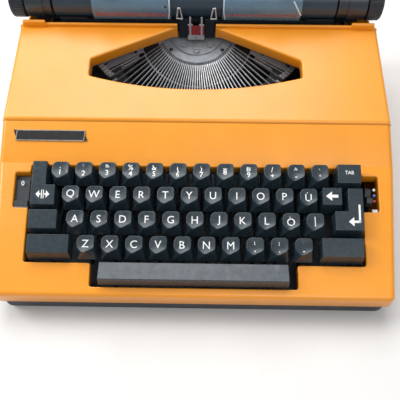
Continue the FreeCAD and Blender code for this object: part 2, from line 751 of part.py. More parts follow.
def bar_angle(index):
    """Bars stand closer in the middle of the fan than at its sides."""
    share = (2 * index - (BAR_COUNT - 1)) / (BAR_COUNT - 1)
    return 50.5 * share + 11.5 * share ** 3


def cone_height(radius):
    return -(radius - size("segment_inner")) * CONE


def radial_prism(profile, angle, thickness):
    """A (radius, height) outline given thickness and turned to its place in the fan."""
    points = [Vector(-thickness / 2, -radius, height) for radius, height in profile]
    face = Part.Face(Part.makePolygon(points + points[:1]))
    plate = face.extrude(Vector(thickness, 0, 0))
    plate.rotate(Vector(), Z_AXIS, angle)
    return plate


def fan_solid(profile, half_angle):
    """A (radius, height) outline swept round the basket axis, even both ways."""
    points = [Vector(0, -radius, height) for radius, height in profile]
    face = Part.Face(Part.makePolygon(points + points[:1]))
    face.rotate(Vector(), Z_AXIS, -half_angle)
    return face.revolve(Vector(), Z_AXIS, 2 * half_angle)


def basket_screws():
    """Screw heads that hold the disc of the segment."""
    screws = []
    for angle, radius in ((-35.0, 21.0), (35.0, 21.0), (0.0, 23.0)):
        head = Part.makeCylinder(2.6, 1.5, Vector(0, -radius, 0.05))
        slot = box_between(-3, 3, -radius - 0.4, -radius + 0.4, 0.9, 3)
        head = head.cut(slot)
        head.rotate(Vector(), Z_AXIS, angle)
        screws.append(head)
    return screws


def type_segment():
    """The slotted casting that the typebars turn in, with its grooved inner disc."""
    inner, outer = size("segment_inner"), size("segment_outer")
    groove = 27.5
    casting = fan_solid([
        (14.0, 0.0), (groove - 0.7, 0.0), (groove, -0.8), (groove + 0.7, 0.0), (inner, 0.0),
        (outer, cone_height(outer)), (outer, -10.5), (outer - 6, -12.5), (14.0, -12.5),
    ], 78.0)
    casting = casting.fuse(fan_solid([(9.0, -0.2), (14.5, -0.2), (14.5, -6.0), (9.0, -6.0)], 60.0))
    slots = []
    for index in range(BAR_COUNT):
        floor = [(inner - 1.0, 2.0), (outer + 2, 2.0), (outer + 2, -14.0), (outer - 4, -10.0),
                 (inner - 1.0, -10.0)]
        slots.append(radial_prism(floor, bar_angle(index), size("slot_width")))
    casting = casting.cut(Part.makeCompound(slots))
    holes = [Part.makeCylinder(1.3, 6, Vector(0, -radius, -4)) for radius in (32.0, 45.5)]
    for hole, angle in zip(holes, (46.8, 69.5)):
        for sign in (-1, 1):
            turned = hole.copy()
            turned.rotate(Vector(), Z_AXIS, sign * angle)
            casting = casting.cut(turned)
    return keep_shape("type_segment", Part.makeCompound([casting] + basket_screws()), basket_place())


def typebar_profile():
    """A typebar seen from its side, lying at rest: tail, blade and raised type slug."""
    start, end = size("bar_pivot") - 4.4, size("bar_end")
    top_lift = 1.0
    blade = 2.4
    return [
        (start, cone_height(start) + top_lift - 5.4), (start, cone_height(start) + top_lift),
        (end - 5.0, cone_height(end - 5.0) + top_lift), (end - 5.0, cone_height(end) + 5.6),
        (end, cone_height(end) + 4.4), (end, cone_height(end) + top_lift - blade),
        (size("bar_pivot") + 8, cone_height(size("bar_pivot") + 8) + top_lift - blade - 1.0),
    ]


def typebar(index):
    bar = radial_prism(typebar_profile(), bar_angle(index), size("bar_thick"))
    end = size("bar_end")
    slug = radial_prism([(end - 5.2, cone_height(end) + 1.0), (end - 5.2, cone_height(end) + 5.8),
                         (end + 0.2, cone_height(end) + 4.4), (end + 0.2, cone_height(end) - 0.4)],
                        bar_angle(index), 2.4)
    pivot = size("bar_pivot")
    eye = Part.makeCylinder(0.9, 2.0, Vector(-1.0, -pivot, cone_height(pivot) - 1.6), X_AXIS)
    eye.rotate(Vector(), Z_AXIS, bar_angle(index))
    return bar.fuse(slug).cut(eye)


def typebars():
    fixed = [typebar(index) for index in range(BAR_COUNT) if index != SOLO_BAR]
    keep_shape("typebars", Part.makeCompound(fixed), basket_place())
    keep_shape("typebar_h", typebar(SOLO_BAR), basket_place())


def typebar_ring():
    """The guard wire under the bars, round the foot of the segment."""
    radius = size("segment_outer") + 1.6
    height = cone_height(radius) - 5.4
    wire = fan_solid([(radius - 0.7, height - 0.7), (radius + 0.7, height - 0.7),
                      (radius + 0.7, height + 0.7), (radius - 0.7, height + 0.7)], 72.0)
    return keep_shape("typebar_ring", wire, basket_place())


def basket_plates():
    """Flat side plates that close the fan at both ends."""
    for side, label in ((-1, "basket_plate_left"), (1, "basket_plate_right")):
        inner, outer = 54.4, 93.5
        lift = 1.2
        profile = [(inner, cone_height(inner) + lift - 1.5), (inner, cone_height(inner) + lift),
                   (outer, cone_height(outer) + lift), (outer, cone_height(outer) + lift - 1.5)]
        plate = radial_prism(profile, 0.0, 8.0)
        tip = radial_prism([(outer - 7, -40), (outer - 7, 10), (outer + 9, 10), (outer + 9, -40)], 0.0, 8.0)
        tip.rotate(Vector(0, -outer + 7, 0), Z_AXIS, -26.0 * side)
        tip.translate(Vector(7.6 * side, 0, 0))
        plate = plate.cut(tip)
        screw = Part.makeCylinder(1.4, 60, Vector(0.6 * side, -66.3, -40))
        plate = plate.cut(screw)
        plate.rotate(Vector(), Z_AXIS, 69.6 * side)
        keep_shape(label, plate, basket_place())


def type_rest():
    """The padded arc that the typebar heads lie on."""
    inner, outer = 80.0, 93.0
    lift = -2.0
    profile = [(inner, cone_height(inner) + lift - 3), (inner, cone_height(inner) + lift),
               (outer, cone_height(outer) + lift), (outer, cone_height(outer) + lift - 3)]
    return keep_shape("type_rest", fan_solid(profile, 66.0), basket_place())


# ---------------------------------------------------------------- printing point


def type_guide():
    """The black bracket at the printing point, with wings that hold the card holders."""
    centre = size("print_x")
    solids = [box_between(centre - 16, centre + 16, 84.6, 109.6, 83.6, 85.8)]
    for side in (-1, 1):
        x_low, x_high = sorted((centre + side * 7.8, centre + side * 15.6))
        solids.append(box_between(x_low, x_high, 84.6, 86.2, 83.6, 104.0))
        x_low, x_high = sorted((centre + side * 14.2, centre + side * 16.4))
        solids.append(box_between(x_low, x_high, 84.6, 88.2, 94.5, 100.4))
        x_low, x_high = sorted((centre + side * 15.0, centre + side * 122.0))
        solids.append(side_prism([(86.8, 94.5), (86.8, 100.4), (88.2, 100.4), (88.2, 94.5)], x_low, x_high))
        x_low, x_high = sorted((centre + side * 98.0, centre + side * 122.0))
        solids.append(side_prism([(86.9, 100.0), (86.9, 103.4), (87.9, 103.4), (87.9, 100.0)], x_low, x_high))
    return keep_shape("type_guide", solids[0].fuse(solids[1:]))


def holder_sheet(x_low, x_high, start, end):
    """A thin sheet curved round the front of the platen between two angles."""
    radius = size("platen_radius") + 1.6
    place = Vector(x_low, size("platen_y"), size("platen_z"))
    outer = Part.makeCylinder(radius + 0.8, x_high - x_low, place, X_AXIS, 360)
    inner = Part.makeCylinder(radius, x_high - x_low + 2, place - Vector(1, 0, 0), X_AXIS, 360)
    reach = 40.0
    wedge = [(size("platen_y"), size("platen_z"))]
    for angle in (start, (start + end) / 2, end):
        wedge.append((size("platen_y") + reach * math.cos(math.radians(angle)),
                      size("platen_z") + reach * math.sin(math.radians(angle))))
    return outer.cut(inner).common(side_prism(wedge, x_low - 1, x_high + 1))


def card_holders():
    """Clear curved card holders on both sides of the printing point."""
    centre = size("print_x")
    for side, label in ((-1, "card_holder_left"), (1, "card_holder_right")):
        x_low, x_high = sorted((centre + side * 22.8, centre + side * 91.5))
        keep_shape(label, holder_sheet(x_low, x_high, 140.0, 216.0))


def card_wires():
    """Two bent wire fingers that hold a card against the platen."""
    centre = size("print_x")
    wires = []
    for side in (-1, 1):
        points = [Vector(centre + side * 12.6, 84.9, 105.0), Vector(centre + side * 17.6, 84.9, 105.0),
                  Vector(centre + side * 16.4, 85.9, 115.4), Vector(centre + side * 14.6, 85.9, 115.4)]
        runs = []
        for index, start in enumerate(points):
            run = points[(index + 1) % 4] - start
            runs.append(Part.makeCylinder(0.6, run.Length, start, run))
            runs.append(Part.makeSphere(0.6, start))
        runs.append(Part.makeCylinder(0.6, 1.0, Vector(centre + side * 13.4, 84.9, 104.05), Z_AXIS))
        wires.append(runs[0].fuse(runs[1:]))
    return keep_shape("card_wires", Part.makeCompound(wires))


def ribbon_vibrator():
    """The forked steel lifter that raises the ribbon to the printing line."""
    centre = size("print_x") - 0.6
    base = box_between(centre - 7.4, centre + 7.4, 82.4, 83.1, 83.2, 88.0)
    solids = [base]
    for side in (-1, 1):
        x_mid = centre + side * 5.1
        solids.append(box_between(x_mid - 0.8, x_mid + 0.8, 82.4, 83.1, 87.5, 108.4))
        solids.append(box_between(x_mid - 2.2, x_mid + 2.2, 82.4, 83.1, 99.2, 100.6))
    fork = solids[0].fuse(solids[1:])
    hole = Part.makeCylinder(0.9, 4, Vector(centre, 81, 85.6), Y_AXIS)
    return keep_shape("ribbon_vibrator", fork.cut(hole))


def ribbon():
    centre = size("print_x")
    strip = doc.addObject("Part::Box", "ribbon")
    bind(strip, Length="14.4", Width="0.25", Height="11.5")
    return keep(strip, "ribbon", at(centre - 7.5, 83.3, 87.0))


def ribbon_spools():
    """Two spools of ribbon under the cover, each on its spindle."""
    for side, label in ((-1, "ribbon_spool_left"), (1, "ribbon_spool_right")):
        radius = size("spool_radius")
        flange = Part.makeCylinder(radius, 1.0)
        upper = flange.copy()
        upper.translate(Vector(0, 0, 13.2))
        pack = Part.makeCylinder(radius - (5.0 if side < 0 else 11.0), 12.4, Vector(0, 0, 0.9))
        spindle = Part.makeCylinder(3.0, 28.0, Vector(0, 0, -14.0))
        finger = Part.makeCylinder(1.4, 2.4, Vector(radius - 8, 0, 14.0))
        spool = flange.fuse([upper, pack, spindle, finger])
        keep_shape(label, spool, at(side * size("spool_x"), size("spool_y"), 66.0))


# ---------------------------------------------------------------- carriage


def carriage_bed():
    """The sliding bed: one profile along X that straddles both rails and carries a stop rib."""
    gap = 0.3
    half = size("rail_width") / 2 + gap
    rail_top = size("rail_z") + size("rail_height") + gap
    low, high = 86.5, 92.0
    front, back = 104.6, 144.4
    first, second = size("rail_front_y"), size("rail_back_y")
    profile = [
        (front, low), (first - half, low), (first - half, rail_top), (first + half, rail_top),
        (first + half, low), (second - half, low), (second - half, rail_top),
        (second + half, rail_top), (second + half, low), (back, low), (back, high),
        (142.0, high), (142.0, high + 5), (140.0, high + 5), (140.0, high), (front, high),
    ]
    place = at(-152.0, 0, 0)
    return padded_body("carriage_bed", "YZ_Plane", profile, "299.5", place)


def end_housing(label, flange_span, collar_span, extras=()):
    """A bearing housing for the platen shaft: flange, round collar and a foot on the bed."""
    y_axis, z_axis = size("platen_y"), size("platen_z")
    flange = rod_along_x(flange_span[0], flange_span[1], y_axis, z_axis, size("end_radius") - 0.8)
    collar = rod_along_x(collar_span[0], collar_span[1], y_axis, z_axis, size("end_radius"))
    foot = side_prism([(105.2, 92.05), (128.0, 92.05), (122.0, 104.0), (112.0, 112.0), (105.2, 110.0)],
                      collar_span[0] + 0.5, collar_span[1] - 0.5)
    housing = flange.fuse([collar, foot])
    bore = rod_along_x(-200, 200, y_axis, z_axis, size("shaft_radius") + size("running_gap"))
    pin_hole = rod_along_x(-200, 200, y_axis + 12.2, z_axis - 0.2, 2.1)
    housing = housing.cut(bore).cut(pin_hole)
    return keep_shape(label, housing.fuse(list(extras)) if extras else housing)


RELEASE_PIVOT = (134.2, 96.2)


def carriage_ends():
    end_housing("carriage_end_left", (-137.0, -129.4), (-151.8, -136.8))
    lug = box_between(129.2, 134.0, 126.0, 138.0, 92.05, 99.0)
    pin = rod_along_x(126.0, 130.0, RELEASE_PIVOT[0], RELEASE_PIVOT[1], 1.5)
    end_housing("carriage_end_right", (122.6, 131.6), (131.4, 147.4), [lug, pin])


def platen_set():
    """Platen, shaft and the two turning knobs."""
    axis = (size("platen_y"), size("platen_z"))
    roller = doc.addObject("Part::Cylinder", "platen_outside")
    bind(roller, Radius=cell("platen_radius"), Height="Sizes.platen_right - Sizes.platen_left")
    bore = doc.addObject("Part::Cylinder", "platen_bore")
    bind(bore, Radius="Sizes.shaft_radius + 0.02", Height="300")
    bore.Placement = at(0, 0, -10)
    platen = doc.addObject("Part::Cut", "platen")
    platen.Base = roller
    platen.Tool = bore
    keep(platen, "platen", at(size("platen_left"), axis[0], axis[1], ALONG_X))
    shaft = doc.addObject("Part::Cylinder", "platen_shaft")
    bind(shaft, Radius=cell("shaft_radius"), Height="323.0")
    keep(shaft, "platen_shaft", at(-163.5, axis[0], axis[1], ALONG_X))
    for label, low, high in (("platen_knob_left", -165.7, -153.4), ("platen_knob_right", 149.0, 161.4)):
        keep_shape(label, ribbed_knob(high - low, label.endswith("left")), at(low, axis[0], axis[1], ALONG_X))


def ribbed_knob(length, bore_at_far_end):
    """A round knob with fine ribs along its rim and a blind bore for the shaft."""
    radius = size("knob_radius")
    body = Part.makeCylinder(radius, length)
    rim = [edge for edge in body.Edges if edge.Closed]
    body = body.makeChamfer(1.0, rim)
    count = 48
    grooves = []
    for index in range(count):
        angle = math.radians(360.0 * index / count)
        place = Vector(radius * math.cos(angle), radius * math.sin(angle), -1)
        grooves.append(Part.makeCylinder(0.55, length + 2, place))
    body = body.cut(Part.makeCompound(grooves))
    depth = length - 1.8
    start = length - depth - 0.01 if bore_at_far_end else -0.01
    bore = Part.makeCylinder(size("shaft_radius") + 0.02, depth + 0.02, Vector(0, 0, start))
    return body.cut(bore)


def feed_rollers():
    """Rubber rollers that press the paper to the platen from below."""
    gap = 0.3
    for label, radius, angle in (("feed_roller_front", 4.0, -100.0), ("feed_roller_rear", 5.0, -40.0)):
        reach = size("platen_radius") + radius + gap
        y_pos = size("platen_y") + reach * math.cos(math.radians(angle))
        z_pos = size("platen_z") + reach * math.sin(math.radians(angle))
        roller = doc.addObject("Part::Cylinder", label)
        bind(roller, Height="228")
        roller.Radius = radius
        keep(roller, label, at(-117.0, y_pos, z_pos, ALONG_X))


def paper_table():
    """The sloping sheet behind the platen that guides the paper in."""
    profile = [(127.0, 92.05), (131.0, 92.05), (138.5, 127.0), (137.0, 127.0), (129.0, 96.0), (127.0, 96.0)]
    return padded_body("paper_table", "YZ_Plane", profile, "246", at(-126.0, 0, 0))


def paper_bail():
    """A rod with two small rollers, on arms that turn beside the platen ends."""
    y_axis, z_axis = size("platen_y"), size("platen_z")
    pivot = Vector(0, y_axis + 12.2, z_axis - 0.2)
    reach = size("platen_radius") + 5.0 + 0.4
    rod_y = y_axis + reach * math.cos(math.radians(120))
    rod_z = z_axis + reach * math.sin(math.radians(120))
    solids = [rod_along_x(-128.9, 122.2, rod_y, rod_z, 2.0)]
    rollers = []
    for x_mid in (-80.0, 74.0):
        rubber = rod_along_x(x_mid - 7, x_mid + 7, rod_y, rod_z, 5.0)
        rollers.append(rubber.cut(rod_along_x(x_mid - 8, x_mid + 8, rod_y, rod_z, 2.0 + size("running_gap"))))
    keep_shape("bail_rollers", Part.makeCompound(rollers))
    run = Vector(0, rod_y - pivot.y, rod_z - pivot.z)
    side_step = Vector(0, -run.z, run.y).normalize() * 2.5
    for x_low, x_high in ((-128.9, -127.7), (121.3, 122.2)):
        corners = [pivot + side_step, pivot + run + side_step, pivot + run - side_step, pivot - side_step]
        solids.append(side_prism([(corner.y, corner.z) for corner in corners], x_low, x_high))
        solids.append(rod_along_x(x_low, x_high, pivot.y, pivot.z, 2.9))
    solids.append(rod_along_x(-133.0, -128.0, pivot.y, pivot.z, 2.0))
    solids.append(rod_along_x(121.6, 126.5, pivot.y, pivot.z, 2.0))
    return keep_shape("paper_bail", solids[0].fuse(solids[1:]))


def paper_release_lever():
    """A small lever at the right of the carriage that lets the paper loose."""
    pivot_y, pivot_z = RELEASE_PIVOT
    profile = [(pivot_y - 2.6, pivot_z + 1.0), (pivot_y + 2.6, pivot_z - 1.0), (143.5, 116.0), (140.0, 118.0)]
    lever = side_prism(profile, 126.2, 128.8)
    eye = rod_along_x(126.2, 128.8, pivot_y, pivot_z, 3.3)
    hole = rod_along_x(120, 135, pivot_y, pivot_z, 1.5 + size("running_gap"))
    return keep_shape("paper_release_lever", lever.fuse(eye).cut(hole))


def margin_stops():
    """Two blocks that straddle the rib at the back of the bed."""
    gap = 0.3
    for x_mid, label in ((-82.0, "margin_stop_left"), (78.0, "margin_stop_right")):
        block = doc.addObject("Part::Box", label + "_block")
        bind(block, Length="9", Width="7", Height="9")
        slot = doc.addObject("Part::Box", label + "_slot")
        bind(slot, Length="20", Width="2 + 2 * 0.3", Height="5 + 0.3")
        slot.Placement = at(-5, 3.5 - 1.0 - gap, -0.3)
        stop = doc.addObject("Part::Cut", label)
        stop.Base = block
        stop.Tool = slot
        keep(stop, label, at(x_mid - 4.5, 137.5, 92.3))


# ---------------------------------------------------------------- drive


def drive_train():
    """Motor, pulleys, belt and the power roll."""
    motor_y, motor_z = size("motor_y"), size("motor_z")
    roll_y, roll_z = size("roll_y"), size("roll_z")
    can = rod_along_x(-122, -66, motor_y, motor_z, 20.0)
    foot = box_between(-114, -74, motor_y - 16, motor_y + 16, size("tray_bottom") + 2.1, motor_z - 10)
    keep_shape("drive_motor", can.fuse(foot))
    shaft = rod_along_x(-136.5, -122.3, motor_y, motor_z, 2.5)
    keep_shape("motor_pulley", shaft.fuse(rod_along_x(-134.5, -128.5, motor_y, motor_z, 7.0)))
    roll = rod_along_x(-120.0, 120.0, roll_y, roll_z, 8.0)
    parts = [rod_along_x(-142.0, 142.0, roll_y, roll_z, 4.0)]
    parts.append(rod_along_x(-134.5, -128.5, roll_y, roll_z, 16.0))
    keep_shape("power_roll", roll.fuse(parts))
    keep_shape("drive_belt", belt_loop(7.3, 16.3, 1.6, -133.5, -129.5))


def belt_loop(small, large, thick, x_low, x_high):
    """A flat belt round the motor pulley and the roll's pulley."""
    start = Vector(0, size("motor_y"), size("motor_z"))
    end = Vector(0, size("roll_y"), size("roll_z"))
    outer = belt_side(start, end, small + thick, large + thick, x_low, x_high)
    inner = belt_side(start, end, small, large, x_low - 1, x_high + 1)
    return outer.cut(inner)


def belt_side(start, end, small, large, x_low, x_high):
    run = end - start
    facing = math.atan2(run.z, run.y)
    lean = math.acos((small - large) / run.Length)
    corners = []
    for sign in (1, -1):
        angle = facing + sign * lean
        step = Vector(0, math.cos(angle), math.sin(angle))
        pair = [start + step * small, end + step * large]
        corners += pair if sign > 0 else list(reversed(pair))
    slab = side_prism([(corner.y, corner.z) for corner in corners], x_low, x_high)
    rounds = [rod_along_x(x_low, x_high, start.y, start.z, small),
              rod_along_x(x_low, x_high, end.y, end.z, large)]
    return slab.fuse(rounds)


def mains_inlet():
    """The socket in the rear wall for the mains lead."""
    block = box_between(89.0, 115.0, 134.0, size("rear_y"), 25.0, 45.0)
    socket = box_between(93.0, 111.0, 138.0, 149.0, 29.0, 41.0)
    pins = [Part.makeCylinder(1.2, 8.0, Vector(x_pos, 137.8, 35.0), Y_AXIS) for x_pos in (98.0, 106.0)]
    return keep_shape("mains_inlet", block.cut(socket).fuse(pins))


# ---------------------------------------------------------------- build, check and write


def build_all():
    for build in (base_tray, rubber_feet, body_shell, ribbon_cover, badge_plate, frame_sides,
                  frame_cross_bars, lever_fulcrum_rod, carriage_rails, letter_rows, special_keys,
                  shift_keys, space_bar, power_switch, switch_housing, ribbon_selector, type_segment, typebars,
                  typebar_ring, basket_plates, type_rest, type_guide, card_holders,
                  card_wires, ribbon_vibrator, ribbon, ribbon_spools, carriage_bed, carriage_ends,
                  platen_set, feed_rollers, paper_table, paper_bail, paper_release_lever,
                  margin_stops, drive_train, mains_inlet):
        build()
    doc.recompute()


def check_all():
    for item in doc.Objects:
        troubles = [state for state in item.State if state in ("Invalid", "Error")]
        assert not troubles, "%s: %s" % (item.Label, troubles)
    for part in subparts:
        assert not part.Shape.isNull(), part.Label
        assert part.Shape.isValid(), part.Label
        assert part.Shape.Solids, part.Label


def write_all():
    os.makedirs("parts", exist_ok=True)
    for part in subparts:
        part.Shape.exportStep("parts/%s.step" % part.Label)
        print("%-24s %3d solids %9.1f mm3" % (part.Label, len(part.Shape.Solids), part.Shape.Volume))
    print(len(subparts), "sub-parts")


build_all()
check_all()
write_all()
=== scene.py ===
import math

import bmesh
import bpy
from mathutils import Matrix, Vector, geometry


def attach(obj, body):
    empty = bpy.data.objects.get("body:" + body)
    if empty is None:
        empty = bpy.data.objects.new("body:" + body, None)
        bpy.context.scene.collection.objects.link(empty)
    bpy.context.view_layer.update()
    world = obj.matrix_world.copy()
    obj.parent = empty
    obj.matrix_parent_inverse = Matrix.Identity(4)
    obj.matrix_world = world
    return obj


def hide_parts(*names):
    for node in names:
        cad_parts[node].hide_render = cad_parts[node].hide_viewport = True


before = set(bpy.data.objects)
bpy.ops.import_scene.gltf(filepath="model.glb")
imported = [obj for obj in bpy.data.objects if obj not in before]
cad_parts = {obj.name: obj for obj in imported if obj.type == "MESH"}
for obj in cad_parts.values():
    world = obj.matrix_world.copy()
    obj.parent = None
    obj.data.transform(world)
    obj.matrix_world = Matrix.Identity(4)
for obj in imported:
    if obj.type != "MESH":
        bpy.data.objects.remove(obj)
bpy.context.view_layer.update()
scene = bpy.context.scene
MM = 0.001
DUST_COLOR = [0.42, 0.40, 0.37]

# ---------------------------------------------------------------- materials


def link(material, source, target):
    material.node_tree.links.new(source, target)


def add_node(material, kind, **inputs):
    """A shader node with some of its inputs set by name."""
    node = material.node_tree.nodes.new(kind)
    for name, value in inputs.items():
        node.inputs[name.replace("_", " ")].default_value = value
    return node


def noise(material, coords, size_mm, detail=3.0, stretch=(1, 1, 1), rough=0.55):
    """Noise whose features are about this many millimetres across."""
    mapping = add_node(material, "ShaderNodeMapping")
    mapping.inputs["Scale"].default_value = [share * 1000.0 / size_mm for share in stretch]
    link(material, coords, mapping.inputs["Vector"])
    texture = add_node(material, "ShaderNodeTexNoise", Scale=1.0, Detail=detail, Roughness=rough)
    link(material, mapping.outputs["Vector"], texture.inputs["Vector"])
    return texture.outputs["Fac"]


def spread(material, value, low, high, start=0.3, end=0.7):
    """Map a 0..1 value onto another range, clamped."""
    node = add_node(material, "ShaderNodeMapRange")
    node.clamp = True
    for name, number in (("From Min", start), ("From Max", end), ("To Min", low), ("To Max", high)):
        node.inputs[name].default_value = number
    link(material, value, node.inputs["Value"])
    return node.outputs["Result"]


def mix_color(material, share, first, second):
    """A colour between two others. The share and the colours may come from other nodes."""
    node = material.node_tree.nodes.new("ShaderNodeMix")
    node.data_type = "RGBA"
    for name, value in (("Factor_Float", share), ("A_Color", first), ("B_Color", second)):
        socket = next(item for item in node.inputs if item.identifier == name)
        if hasattr(value, "is_output"):
            link(material, value, socket)
        else:
            socket.default_value = value if isinstance(value, float) else (*value, 1.0)
    return next(item for item in node.outputs if item.identifier == "Result_Color")


def math_node(material, operation, first, second):
    """Add or multiply two values. The second may be a plain number."""
    node = material.node_tree.nodes.new("ShaderNodeMath")
    node.operation = operation
    link(material, first, node.inputs[0])
    if hasattr(second, "is_output"):
        link(material, second, node.inputs[1])
    else:
        node.inputs[1].default_value = second
    return node.outputs[0]


def dusty(material, coords, shade, amount):
    """Grey specks that settle on what faces up."""
    normal = add_node(material, "ShaderNodeNewGeometry").outputs["Normal"]
    split = add_node(material, "ShaderNodeSeparateXYZ")
    link(material, normal, split.inputs["Vector"])
    facing = spread(material, split.outputs["Z"], 0.0, 1.0, 0.2, 1.0)
    specks = spread(material, noise(material, coords, 1.3, 6.0, rough=0.7), 0.15, 1.0, 0.45, 0.75)
    share = math_node(material, "MULTIPLY", math_node(material, "MULTIPLY", facing, specks), amount)
    return mix_color(material, share, shade, DUST_COLOR)


def surface(name, color, rough, metal=0.0, tone=0.10, tone_size=14.0, grain=0.25, grain_size=0.5,
            stretch=(1, 1, 1), rough_swing=0.08, coat=0.0, dust=0.0, scratches=0.0, specular=0.5,
            sheen=0.0, alpha=1.0, grain_depth=0.05):
    """A worn real surface: uneven tone, uneven polish, fine grain, faint scratches and dust."""
    material = bpy.data.materials.new(name)
    material.use_nodes = True
    shader = material.node_tree.nodes["Principled BSDF"]
    coords = add_node(material, "ShaderNodeTexCoord").outputs["Object"]
    settings = {"Metallic": metal, "Specular IOR Level": specular, "Coat Weight": coat,
                "Coat Roughness": 0.25, "Sheen Weight": sheen, "Alpha": alpha}
    for socket, value in settings.items():
        shader.inputs[socket].default_value = value
    broad = noise(material, coords, tone_size, 4.0)
    dark = [channel * (1.0 - tone) for channel in color]
    light = [min(1.0, channel * (1.0 + tone * 0.6)) for channel in color]
    shade = mix_color(material, spread(material, broad, 0.0, 1.0), dark, light)
    if dust:
        shade = dusty(material, coords, shade, dust)
    link(material, shade, shader.inputs["Base Color"])
    patchy = noise(material, coords, tone_size * 0.6, 5.0, rough=0.65)
    polish = spread(material, patchy, max(0.03, rough - rough_swing), min(1.0, rough + rough_swing))
    height = noise(material, coords, grain_size, 2.0, stretch)
    if scratches:
        lines = noise(material, coords, 3.0, 2.0, (0.15, 6.0, 6.0))
        cuts = spread(material, lines, 0.0, scratches, 0.62, 0.70)
        polish = math_node(material, "ADD", polish, cuts)
    link(material, polish, shader.inputs["Roughness"])
    bump = add_node(material, "ShaderNodeBump", Strength=grain, Distance=grain_depth * MM)
    link(material, height, bump.inputs["Height"])
    link(material, bump.outputs["Normal"], shader.inputs["Normal"])
    return material


